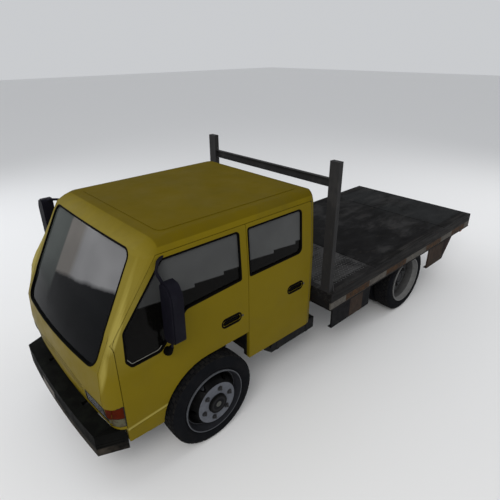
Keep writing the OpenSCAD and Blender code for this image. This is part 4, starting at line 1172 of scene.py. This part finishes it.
FOOT_RADII = (0.042, 0.042, 0.037, 0.029, 0.020)
# How far back and up each mirror's head stands from where MIRROR_HEAD has it
MIRROR_SHIFTS = {"left": (0, 0), "right": (-150, 190)}
# Middles of the handles' pockets, and the lock beside a pocket
HANDLES = ((288, 1222), (1163, 1222))
POCKET_HALF = (101, 24)
LOCK_BACK = 134
LOCK_Z = 1218
LOCK_RADIUS = 12.5
# The small plate that closes the notch beside the front pillar, and the pillar's lean above its knee
GUSSET = (838, 881, 1484, 1562)
GUSSET_Y = -845.5
PILLAR_KNEE_Z = 1504
PILLAR_LEAN = 0.46
# How far inside the cab's flank the rubber of a door frame lies, and where the linings start, in metres
FRAME_RUBBER = (0.0335, 0.0395)
FRAME_LINING = 0.060
DOOR_LINING = 0.0325
BACK_LINING_Y = 1480
FLOOR_Z = 0.99
ARCH_Y = (400, 640)
# A face of a window's jamb looks out of the panel by less than this
JAMB_TURN = 0.6
JAMB_GROW = 3.0
# The cab's half width at heights: height, half width
HALF_WIDTHS = ((700, 915), (860, 918), (1500, 918), (1560, 917), (1640, 914), (2100, 884), (2155, 870),
               (2188, 852), (2212, 829))


def half_width(z):
    """The cab's half width at a height, both in metres."""
    height = z * 1000
    for (z0, x0), (z1, x1) in zip(HALF_WIDTHS, HALF_WIDTHS[1:]):
        if height <= z1:
            share = max(0.0, (height - z0) / (z1 - z0))
            return (x0 + (x1 - x0) * share) / 1000
    return HALF_WIDTHS[-1][1] / 1000


def depth_of(face):
    """How far a face lies inside the cab's flank."""
    return half_width(face.center.z) - abs(face.center.x)


def behind_axle(face):
    """How far a face's middle lies behind the front axle, in millimetres."""
    return (face.center.y - AXLE_Y) * 1000


def in_pocket(face):
    """True for the faces of a door handle's pocket."""
    for y, z in HANDLES:
        if abs(behind_axle(face) - y) < POCKET_HALF[0] and abs(face.center.z * 1000 - z) < POCKET_HALF[1]:
            return face.area < 0.012 and depth_of(face) < 0.03 and not is_lock(face)
    return False


def is_lock(face):
    """True for the faces of the round lock beside a pocket."""
    for y, _ in HANDLES:
        if math.hypot(behind_axle(face) - y - LOCK_BACK, face.center.z * 1000 - LOCK_Z) < LOCK_RADIUS:
            return face.area < 0.001
    return False


def is_arch(face):
    """True for the inside of the front wheel's arch in a door frame."""
    low = face.center.z < FLOOR_Z and ARCH_Y[0] < behind_axle(face) < ARCH_Y[1]
    return low and face.normal.y < -0.25 and depth_of(face) > 0.002


class TRUCK_OT_panels(bpy.types.Operator):
    """Paints the cab's panels, doors and roof"""
    bl_idname = "truck.panels"
    bl_label = "Cab panels"

    def execute(self, context):
        lining = finishes["lining"]
        screen = ring_of(SCREEN, JAMB_GROW)
        opening = ring_of(BACK_OPENING, JAMB_GROW)

        def jamb(face, hole):
            spot = face.center * 1000
            return abs(face.normal.y) < JAMB_TURN and inside(spot.x, spot.z, hole)
        paint(dress("cab_front", finishes["yellow"], 0.003), finishes["rubber"], lambda f: jamb(f, screen))
        back = dress("cab_back", finishes["yellow"], 0.003)
        paint(back, lining,
              lambda f: f.normal.y < -0.8 and behind_axle(f) < BACK_LINING_Y and f.center.z > FLOOR_Z)
        paint(back, finishes["rubber"], lambda f: jamb(f, opening))
        sides = dress("cab_sides", finishes["yellow"], 0.003)
        paint(sides, lining, lambda f: depth_of(f) > FRAME_LINING)
        paint(sides, finishes["rubber"],
              lambda f: FRAME_RUBBER[0] < depth_of(f) < FRAME_RUBBER[1] and f.center.z > 0.5)
        paint(sides, finishes["chassis"], is_arch)
        paint(dress("roof", finishes["roof"], 0.003, 60), lining, lambda f: f.normal.z < -0.8)
        for side, sign in SIDES:
            def beside_pillar(p, sign=sign):
                back = max(0, p.y - PILLAR_KNEE_Z) * PILLAR_LEAN
                return at(sign * p.x, GUSSET_Y + back, p.y), -ALONG
            slab("pillar_gusset_" + side, box_outline(*GUSSET, 2), beside_pillar, 0.002,
                 finishes["yellow"], "cab")
            for which, window in (("front", FRONT_WINDOW), ("rear", REAR_WINDOW)):
                hole = ring_of(window, JAMB_GROW)
                door = dress("door_%s_%s" % (which, side), finishes["yellow"], 0.0025)
                paint(door, lining, lambda f: depth_of(f) > DOOR_LINING and abs(f.normal.x) > 0.7)
                paint(door, finishes["rubber"], in_pocket)
                paint(door, finishes["rubber"],
                      lambda f, hole=hole: abs(f.normal.x) < JAMB_TURN
                      and inside(behind_axle(f), f.center.z * 1000, hole))
                paint(door, finishes["bolt"], is_lock)
        dress("cab_floor", finishes["chassis"], 0.003)
        return {"FINISHED"}


# Where rays start: beside, in front of and behind the cab
BESIDE_X = 1400
BEFORE_Y = -1800
BEHIND_Y = 2200


def place_on(skin, kind, sign=1.0):
    """Carries an outline point in millimetres to a surface seen from the front, back or side."""
    def place(p):
        if kind == "side":
            return skin.hit(at(sign * BESIDE_X, p.x, p.y), (-sign, 0, 0))
        y = BEFORE_Y if kind == "front" else BEHIND_Y
        return skin.hit(at(sign * p.x, y, p.y), (0, 1.0 if kind == "front" else -1.0, 0))
    return place


def lay(name, points, place, profile, material, body, closed=True):
    """Lays a strip along a line of points that place() puts on a surface."""
    found = [place(p) for p in points]
    found = [f for f in found if f[0] is not None]
    return sweep(name, [f[0] for f in found], [f[1] for f in found], profile, material, body, closed)


SEAL_FOOT = -0.0125
SEAL_GROW = 4.0
# A pale strip round the front window's low corner that paints a highlight: its ends, and how far inside the
# edge it lies
HIGHLIGHT_END_Z = 1350
HIGHLIGHT_END_Y = -440
HIGHLIGHT_INSET = -12.0
# Dark strips that paint the shadow in the arched grooves of the nose
NOSE_LINES = 3
NOSE_HALF = 500
NOSE_LINE_Z = 1058
NOSE_LINE_PITCH = 30
NOSE_ARCH = 0.00031


class TRUCK_OT_windows(bpy.types.Operator):
    """Glazes the windows and lays the rubber seals round them"""
    bl_idname = "truck.windows"
    bl_label = "Windows and seals"

    def execute(self, context):
        seals = context.scene.truck.seals
        w = seals.width / 2
        h = seals.height
        profile = ((-w, SEAL_FOOT), (-w, h * 0.5), (-w * 0.5, h), (w * 0.5, h), (w, h * 0.5),
                   (w, SEAL_FOOT))
        shell = Surface("cab_front", "roof", "cab_back")
        front = place_on(shell, "front")
        back = place_on(shell, "back")
        rubber = finishes["rubber"]
        lay("screen_seal", ring_of(SCREEN, SEAL_GROW), front, profile, rubber, "cab")
        lay("back_window_seal", ring_of(BACK_OPENING, SEAL_GROW), back, profile, rubber, "cab")
        for side, sign in SIDES:
            for which, points in (("front", FRONT_WINDOW), ("rear", REAR_WINDOW)):
                door = "door_%s_%s" % (which, side)
                place = place_on(Surface(door), "side", sign)
                name = "seal_%s_%s" % (which, side)
                lay(name, ring_of(points, SEAL_GROW), place, profile, rubber, body_of(door))
                dress("glass_%s_%s" % (which, side), finishes["glass"], 0)
            # A pale strip along the front window's low corner paints a highlight
            pane = place_on(Surface("glass_front_" + side), "side", sign)
            low = [p for p in ring_of(FRONT_WINDOW, HIGHLIGHT_INSET, 20.0)
                   if p.y < HIGHLIGHT_END_Z and p.x < HIGHLIGHT_END_Y]
            low.sort(key=lambda p: p.x + (0 if p.x > -700 else (HIGHLIGHT_END_Z - p.y) * 0.2))
            lay("window_highlight_" + side, low, pane, flat_strip(0.0025, -0.001, 0.002),
                finishes["trim"], body_of("door_front_" + side), closed=False)
        dress("cab_glass", finishes["screen"], 0)
        # Dark strips that paint the shadow in the nose's grooves
        for k in range(NOSE_LINES):
            height = NOSE_LINE_Z - NOSE_LINE_PITCH * k
            crease = [Vector((x, height - x * x * NOSE_ARCH)) for x in range(-NOSE_HALF, NOSE_HALF + 1, 25)]
            lay("nose_groove_shadow_%d" % (k + 1), crease, front, flat_strip(0.0022, -0.002, 0.0006), rubber, "cab",
                closed=False)
        return {"FINISHED"}


# A handle's surround: half length, half height and corner of its outside and of its hole
SURROUND = (122, 53, 50)
SURROUND_HOLE = (103, 26, 10)


def handle_surround(name, centre, place, material, body):
    """A moulded oval frame round a door handle's pocket."""
    y, z = centre
    outer, inner = [box_outline(y - long, y + long, z - high, z + high, corner, 8)
                    for long, high, corner in (SURROUND, SURROUND_HOLE)]
    rings = ((outer, -0.001), (outer, 0.0016), (inner, 0.0030), (inner, -0.001))
    verts = []
    for points, rise in rings:
        for p in points:
            spot, normal = place(p)
            verts.append(spot + normal * rise)
    faces = ring_faces(len(rings), len(outer))
    made = bevel(smooth(mesh_object(name, verts, faces, material), 35), 0.0008, 40)
    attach(made, body)
    return made


# Heights of the corner lens's rows; the points of a row; and where it ends, at the lamp behind it and
# beside the headlamp, whose side leans below LENS_LEAN_Z
LENS_ROWS = (745, 768, 790, 812, 816, 820, 842, 864, 886, 908, 925)
LENS_POINTS = 10
# Rays come in towards this point from LENS_REACH metres away, the first from LENS_FIRST degrees
LENS_MIDDLE = (780, -880)
LENS_REACH = 0.6
LENS_FIRST = 3
LENS_STEP = 1.3
LENS_RAYS = 60
LENS_END_Y = AXLE_Y - 0.934
LENS_END_X = 0.820
LENS_LEAN_Z = 790


def corner_wrap(side, sign):
    """Carries the corner lamp's lens round the nose to the headlamp."""
    skin = Surface("cab_front")
    wide = LENS_POINTS
    rows = []
    for z in LENS_ROWS:
        arc = []
        for step in range(LENS_RAYS):
            a = math.radians(LENS_FIRST + step * LENS_STEP)
            way = Vector((sign * math.sin(a), -math.cos(a), 0.0))
            start = at(sign * LENS_MIDDLE[0], LENS_MIDDLE[1], z) + way * LENS_REACH
            spot, normal = skin.hit(start, -way)
            edge = LENS_END_X - max(0, LENS_LEAN_Z - z) * 0.0004
            if spot and abs(spot.x) > edge and spot.y < LENS_END_Y and normal.dot(way) > 0.3:
                arc.append((spot, normal))
        rows.append([arc[round(k * (len(arc) - 1) / (wide - 1))] for k in range(wide)])
    verts = [spot + normal * rise for rise in (0.0022, -0.002) for row in rows for spot, normal in row]
    faces = []
    total = wide * len(rows)
    for r in range(len(rows) - 1):
        for c in range(wide - 1):
            a = r * wide + c
            faces.append((a, a + 1, a + wide + 1, a + wide))
            faces.append((total + a, total + a + wide, total + a + wide + 1, total + a + 1))
    rim = list(range(wide)) + [r * wide + wide - 1 for r in range(1, len(rows))]
    rim += [total - 2 - c for c in range(wide - 1)] + [r * wide for r in range(len(rows) - 2, 0, -1)]
    for a, b in zip(rim, rim[1:] + rim[:1]):
        faces.append((a, b, total + b, total + a))
    made = smooth(mesh_object("corner_lens_" + side, verts, faces, finishes["amber"]), 35)
    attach(made, body_of("corner_lamps"))
    return made


def mirror_foot(name, path, radii, material, body):
    """A moulded foot where a mirror's arm meets the door: rings of changing size along a path."""
    around = 16
    flatness = 0.75
    verts = []
    for i, (spot, radius) in enumerate(zip(path, radii)):
        along = (path[min(i + 1, len(path) - 1)] - path[max(i - 1, 0)]).normalized()
        first = along.cross(ALONG).normalized()
        second = along.cross(first).normalized()
        for k in range(around):
            a = 2 * math.pi * k / around
            across = second * (radius * flatness * math.sin(a))
            verts.append(spot + first * (radius * math.cos(a)) + across)
    faces = ring_faces(len(path), around, closed=False)
    made = smooth(mesh_object(name, verts, faces, material), 50)
    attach(made, body)
    return made


class TRUCK_OT_cab_fittings(bpy.types.Operator):
    """Fits lamps, mirrors, dashboard and steering wheel to the cab"""
    bl_idname = "truck.cab_fittings"
    bl_label = "Cab fittings"

    def execute(self, context):
        dress("headlamps", finishes["lens"], 0.002)
        dress("corner_lamps", finishes["amber"], 0.002)
        dress("dashboard", finishes["interior"], 0.004)
        dress("steering_wheel", finishes["interior"], 0.001)
        shell = Surface("cab_front", "headlamps", "corner_lamps", "cab_sides")
        bezel = ((-0.007, -0.005), (-0.007, 0.0015), (-0.003, 0.003), (0.003, 0.003), (0.007, 0.0015),
                 (0.007, -0.005))
        thin = tuple((u * 0.5, v * 0.6) for u, v in bezel)
        for side, sign in SIDES:
            lay("headlamp_bezel_" + side, ring_of(HEADLAMP, 2.0, 30.0), place_on(shell, "front", sign),
                bezel, finishes["black"], "cab")
            lay("corner_bezel_" + side, ring_of(CORNER_LAMP, 0.0, 30.0), place_on(shell, "side", sign),
                thin, finishes["black"], "cab")
            corner_wrap(side, sign)
            for which, centre in zip(("front", "rear"), HANDLES):
                door = "door_%s_%s" % (which, side)
                handle_surround("handle_surround_%s_%s" % (which, side), centre,
                                place_on(Surface(door), "side", sign), finishes["rubber"], body_of(door))
            mirror = "mirror_" + side
            dress(mirror, finishes["mirror_case"], 0.004)
            back, rise = MIRROR_SHIFTS[side]
            case = Surface(mirror)

            def place(p, sign=sign, back=back, rise=rise, case=case):
                return case.hit(at(sign * p.x, back - 200, p.y + rise), (0, -1, 0))
            glass = ring_of(MIRROR_HEAD, -13.0, 60.0)
            slab("mirror_glass_" + side, glass, place, 0.002, finishes["mirror"], body_of(mirror))
            path = [at(sign * x, y, z) for x, y, z in MIRROR_FEET[side]]
            mirror_foot("mirror_foot_" + side, path, FOOT_RADII, finishes["rubber"], body_of(mirror))
        return {"FINISHED"}


# Running gear

# A tyre's side from the bead to the tread: radius, distance from the middle
TYRE_SIDE = ((0.3215, 0.098), (0.330, 0.108), (0.342, 0.111), (0.348, 0.115), (0.367, 0.1195),
             (0.380, 0.1200), (0.386, 0.1185), (0.392, 0.1200), (0.404, 0.1190), (0.425, 0.1155),
             (0.436, 0.1125), (0.440, 0.1085), (0.452, 0.1020), (0.4575, 0.0940), (0.4605, 0.0800),
             (0.4630, 0.0400))
TYRE_CROWN = (0.4635, 0.0)
TYRE_BORE = 0.3245
BORE_HALF = 0.085
TYRE_STEPS = 72
# Rows of tread blocks: distance from the middle, radius, block width, turn in blocks
TREAD_ROWS = ((-0.0835, 0.4600, 0.024, 0), (-0.0445, 0.4622, 0.034, 0.5), (0.0, 0.4630, 0.038, 0),
              (0.0445, 0.4622, 0.034, 0.5), (0.0835, 0.4600, 0.024, 0))
BLOCK_WIDTHS = (0.024, 0.034, 0.038)
BLOCK_RADIUS = 0.463
BLOCK_HEIGHT = 0.0058
BLOCK_SHARE = 0.80
# Middles of the tyres, from the truck's middle
FRONT_TYRE = (0.868,)
REAR_TYRES = (0.916, 0.650)
SHIELD_X = 0.830
SHIELD_RADIUS = 0.215
SHIELD_STEPS = 72
SHIELD_PROFILE = ((-0.067, -0.002), (-0.067, 0.003), (0.050, 0.003), (0.060, 0.012), (0.066, 0.012),
                  (0.066, -0.002))
OUTSIDE_X = 1.3
NUT_RISE = 1.25


def tyre(name, centres, sign, axle_y, material, body, replaced, settings):
    """One lathe for each tyre of a hub, with rows of blocks round it."""
    profile = list(TYRE_SIDE) + [TYRE_CROWN] + [(r, -w) for r, w in reversed(TYRE_SIDE)]
    profile += [(TYRE_BORE, -BORE_HALF), (TYRE_BORE, BORE_HALF)]
    verts = []
    faces = []
    for x in centres:
        faces += ring_faces(TYRE_STEPS, len(profile), first=len(verts))
        for i in range(TYRE_STEPS):
            a = 2 * math.pi * i / TYRE_STEPS
            for r, w in profile:
                verts.append((sign * x + w, axle_y + r * math.cos(a), HUB_Z + r * math.sin(a)))
    casing = smooth(mesh_object(name, verts, faces, material), 30)
    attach(casing, body)
    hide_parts(replaced)
    length = 2 * math.pi * BLOCK_RADIUS / settings.blocks * BLOCK_SHARE
    for width in BLOCK_WIDTHS:
        places = []
        for offset, radius, row_width, phase in TREAD_ROWS:
            if row_width != width:
                continue
            for x in centres:
                for i in range(settings.blocks):
                    a = 2 * math.pi * (i + phase + 0.3) / settings.blocks
                    out = Vector((offset * 0.6, math.cos(a), math.sin(a))).normalized()
                    spot = Vector((sign * x + offset, axle_y + radius * math.cos(a),
                                   HUB_Z + radius * math.sin(a)))
                    places.append((spot, out, Vector((0.0, -math.sin(a), math.cos(a)))))
        grown_piece("%s_blocks_%d" % (name, width * 1000), "block", places, (width, length, BLOCK_HEIGHT),
                    finishes["tread"], body)
    return casing


def circle_spots(x, y, radius, count, phase=0.0):
    """Points on a circle round an axle."""
    out = []
    for k in range(count):
        a = 2 * math.pi * (k + phase) / count
        out.append(Vector((x, y + radius * math.cos(a), HUB_Z + radius * math.sin(a))))
    return out


class TRUCK_OT_wheels(bpy.types.Operator):
    """Fits tyres, rims and wheel nuts"""
    bl_idname = "truck.wheels"
    bl_label = "Wheels"

    def execute(self, context):
        settings = context.scene.truck.wheels
        for side, sign in SIDES:
            front = "front_wheel_" + side
            rear = "rear_wheels_" + side
            tyre("front_tyre_" + side, FRONT_TYRE, sign, AXLE_Y, finishes["tyre"], front,
                 "tyre_front_" + side, settings)
            tyre("rear_tyres_" + side, REAR_TYRES, sign, REAR_Y, finishes["tyre"], rear,
                 "tyres_rear_" + side, settings)
            dress("rim_front_" + side, finishes["rim_front"], 0.0015)
            dress("rims_rear_" + side, finishes["rim_rear"], 0.0015)
            dress("knuckle_" + side, finishes["cast"], 0.002)
            circle = circle_spots(sign * SHIELD_X, AXLE_Y, SHIELD_RADIUS, SHIELD_STEPS)
            outwards = [Vector((sign, 0.0, 0.0))] * SHIELD_STEPS
            sweep("brake_shield_" + side, circle, outwards, SHIELD_PROFILE, finishes["rubber"],
                  "knuckle_" + side)
            size = settings.nut_size
            for name, rim, y, body in (("nuts_front_" + side, "rim_front_" + side, AXLE_Y, front),
                                       ("nuts_rear_" + side, "rims_rear_" + side, REAR_Y, rear)):
                starts = circle_spots(sign * OUTSIDE_X, y, settings.nut_circle, settings.nuts, 0.25)
                places = spots_on(Surface(rim), starts, (-sign, 0, 0))
                grown_piece(name, "bolt", places, (size, size, size * NUT_RISE), finishes["hub"], body)
        return {"FINISHED"}


# The blank plate and the bumper's caps over the frame's rails, in millimetres
PLATE_X = (-350, -30)
PLATE_Z = (505, 597)
PLATE_PROUD = 0.0012
RIM_PROUD = 0.0018
CAP = (362, 438, -1060, -1010)
# Groups of four rivets in the frame's webs: lengths of the groups, and a rivet's place in its group
RIVET_GROUPS = (-870, 920, 1500, 2300, 3050, 3850, 5150)
RIVET_GRID = ((-25, 560), (25, 560), (-25, 660), (25, 660))
RIVET_SIZE = (0.010, 0.010, 0.008)


class TRUCK_OT_chassis(bpy.types.Operator):
    """Finishes the frame, axles, springs, tank, exhaust and bumper"""
    bl_idname = "truck.chassis"
    bl_label = "Chassis"

    def execute(self, context):
        for name in ("frame", "cross_members", "fuel_tank", "battery_box"):
            dress(name, finishes["chassis"], 0.002)
        for name in ("front_axle", "rear_axle", "leaf_springs", "drive_shaft", "engine", "exhaust",
                     "tie_rod"):
            dress(name, finishes["cast"], 0.002)
        dress("front_bumper", finishes["bumper"], 0.006)
        body = body_of("front_bumper")
        front = place_on(Surface("front_bumper"), "front")
        plate_half = (PLATE_Z[1] - PLATE_Z[0]) / 2000
        middle = [Vector((x, sum(PLATE_Z) / 2)) for x in range(PLATE_X[0], PLATE_X[1] + 1, 40)]
        lay("blank_plate", middle, front, flat_strip(plate_half, -0.001, PLATE_PROUD), finishes["plate"],
            body, closed=False)
        edge = [(p.x, p.y, 0) for p in box_outline(*PLATE_X, *PLATE_Z, 8)]
        lay("plate_rim", ring_of(edge, 2.0, 40.0), front, flat_strip(0.004, -0.003, RIM_PROUD),
            finishes["black"], body)
        bumper_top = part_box("front_bumper")[1][2]
        for side, sign in SIDES:
            def on_top(p, sign=sign):
                return Vector((sign * p.x / 1000, AXLE_Y + p.y / 1000, bumper_top)), UP
            slab("bumper_cap_" + side, box_outline(*CAP, 3), on_top, 0.0015, finishes["bumper"], body)
        rails = Surface("frame")
        places = []
        for y in RIVET_GROUPS:
            for dy, z in RIVET_GRID:
                for _, sign in SIDES:
                    places += spots_on(rails, [at(sign * 700, y + dy, z)], (-sign, 0, 0))
        grown_piece("frame_rivets", "rivet", places, RIVET_SIZE, finishes["bolt"], body_of("frame"))
        return {"FINISHED"}


# Marker tapes on a deck rail: where each starts and ends, and their heights, in millimetres
TAPES = ((1891, 2377), (2767, 3265), (3835, 4301), (4665, 5122))
TAPE_Z = (816, 896)
# The front plate's field of raised bars, in metres: its start behind the axle, its length and its width
BARS_START = 1.705
BARS_LENGTH = 0.805
BARS_WIDTH = 1.95
BAR_SIZE = (0.011, 0.040)


class TRUCK_OT_deck(bpy.types.Operator):
    """Finishes the deck, its rails, skirts, headboard and tail lamps"""
    bl_idname = "truck.deck"
    bl_label = "Deck"

    def execute(self, context):
        settings = context.scene.truck.deck
        dress("deck_frame", finishes["rail"], 0.003)
        dress("deck_sills", finishes["chassis"], 0.002)
        dress("deck_beams", finishes["chassis"], 0.002)
        dress("deck_floor", finishes["deck"], 0.001)
        dress("side_skirts", finishes["skirt"], 0.002)
        dress("headboard", finishes["post"], 0.004)
        dress("tail_lamps", finishes["tail"], 0.003)
        body = body_of("deck_frame")
        rail = Surface("deck_frame")
        for side, sign in SIDES:
            for k, (start, end) in enumerate(TAPES):
                slab("tape_%s_%d" % (side, k + 1), box_outline(start, end, *TAPE_Z, 3),
                     place_on(rail, "side", sign), 0.0008, finishes["tape"], body, 0.0003)
        pitch = settings.bar_pitch
        floor_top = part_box("deck_floor")[1][2]
        rows = int(BARS_LENGTH / pitch)
        across = int(BARS_WIDTH / pitch)
        places = []
        for i in range(across):
            for j in range(rows):
                lean = 1.0 if (i + j) % 2 else -1.0
                spot = Vector(((i + 0.5 - across / 2) * pitch, AXLE_Y + BARS_START + (j + 0.5) * pitch,
                               floor_top))
                places.append((spot, UP, Vector((lean, 1.0, 0.0)).normalized()))
        grown_piece("deck_tread_bars", "bar", places, (*BAR_SIZE, settings.bar_height),
                    finishes["tread_bars"], body_of("deck_floor"))
        return {"FINISHED"}


# Stage

FLOOR_HALF = 60.0
SKY = (0.95, 0.97, 1.0, 1.0)
SKY_STRENGTH = 0.62
# Area lights: name, place, size, power, colour
LIGHTS = (
    ("key", (5.5, -7.5, 8.0), 5.0, 470.0, (1.0, 0.98, 0.95)),
    ("fill", (-8.0, -4.0, 6.0), 6.0, 230.0, (0.95, 0.97, 1.0)),
    ("back", (2.0, 9.0, 7.0), 5.0, 240.0, (1.0, 1.0, 1.0)),
)
LIT_SPOT = Vector((0, -0.8, 1.0))
# The photograph's camera, as fitted to its points
CAMERA_PLACE = (3.426, -3.858, 3.5015)
CAMERA_WAY = Vector((-0.66578, 0.60749, -0.43324))
CAMERA_ROLL = math.radians(0.44)
CAMERA_LENS = 30.31


class TRUCK_OT_stage(bpy.types.Operator):
    """Lays the floor and sets the lights and the camera"""
    bl_idname = "truck.stage"
    bl_label = "Stage"

    def execute(self, context):
        scene = context.scene
        floor_mat, _, bsdf = new_material("floor")
        bsdf.inputs["Base Color"].default_value = (0.80, 0.80, 0.80, 1.0)
        bsdf.inputs["Roughness"].default_value = 0.9
        corners = [(x * FLOOR_HALF, y * FLOOR_HALF, 0) for x, y in ((-1, -1), (1, -1), (1, 1), (-1, 1))]
        floor = mesh_object("floor", corners, [(0, 1, 2, 3)], floor_mat)
        world = bpy.data.worlds.new("studio")
        scene.world = world
        world.use_nodes = True
        sky = world.node_tree.nodes["Background"]
        sky.inputs["Color"].default_value = SKY
        sky.inputs["Strength"].default_value = SKY_STRENGTH
        for name, place, size, power, colour in LIGHTS:
            light = bpy.data.lights.new(name, "AREA")
            light.size = size
            light.energy = power
            light.color = colour
            lamp = bpy.data.objects.new(name, light)
            lamp.location = place
            lamp.rotation_euler = (LIT_SPOT - Vector(place)).to_track_quat("-Z", "Y").to_euler()
            scene.collection.objects.link(lamp)
        data = bpy.data.cameras.new("photo_view")
        data.sensor_width = 36.0
        data.lens = CAMERA_LENS
        cam = bpy.data.objects.new("photo_view", data)
        scene.collection.objects.link(cam)
        cam.location = CAMERA_PLACE
        cam.rotation_mode = "QUATERNION"
        roll = Matrix.Rotation(CAMERA_ROLL, 4, CAMERA_WAY)
        aim = CAMERA_WAY.to_track_quat("-Z", "Y").to_matrix().to_4x4()
        cam.rotation_quaternion = (roll @ aim).to_quaternion()
        scene.camera = cam
        scene.view_settings.view_transform = "Standard"
        return {"FINISHED"}


class TRUCK_PT_panel(bpy.types.Panel):
    """Lists what dresses the truck"""
    bl_label = "Truck"
    bl_idname = "TRUCK_PT_panel"
    bl_space_type = "VIEW_3D"
    bl_region_type = "UI"
    bl_category = "Truck"

    def draw(self, context):
        settings = context.scene.truck
        for group in (settings.paint, settings.seals, settings.seats, settings.wheels, settings.deck):
            box = self.layout.box()
            for key in group.bl_rna.properties.keys():
                if key not in ("rna_type", "name"):
                    box.prop(group, key)
        for operator in OPERATORS:
            self.layout.operator(operator.bl_idname)


OPERATORS = (TRUCK_OT_seats, TRUCK_OT_panels, TRUCK_OT_windows, TRUCK_OT_cab_fittings, TRUCK_OT_wheels,
             TRUCK_OT_chassis, TRUCK_OT_deck, TRUCK_OT_stage)
GROUPS = (TRUCK_PG_paint, TRUCK_PG_seals, TRUCK_PG_seats, TRUCK_PG_wheels, TRUCK_PG_deck, TRUCK_PG_settings)


def register():
    for cls in GROUPS + OPERATORS + (TRUCK_PT_panel,):
        bpy.utils.register_class(cls)
    bpy.types.Scene.truck = PointerProperty(type=TRUCK_PG_settings)


def unregister():
    del bpy.types.Scene.truck
    for cls in reversed(GROUPS + OPERATORS + (TRUCK_PT_panel,)):
        bpy.utils.unregister_class(cls)


def main():
    register()
    make_finishes(bpy.context.scene.truck.paint)
    bpy.ops.truck.seats()
    bpy.ops.truck.panels()
    bpy.ops.truck.windows()
    bpy.ops.truck.cab_fittings()
    bpy.ops.truck.wheels()
    bpy.ops.truck.chassis()
    bpy.ops.truck.deck()
    bpy.ops.truck.stage()


if __name__ == "__main__":
    main()
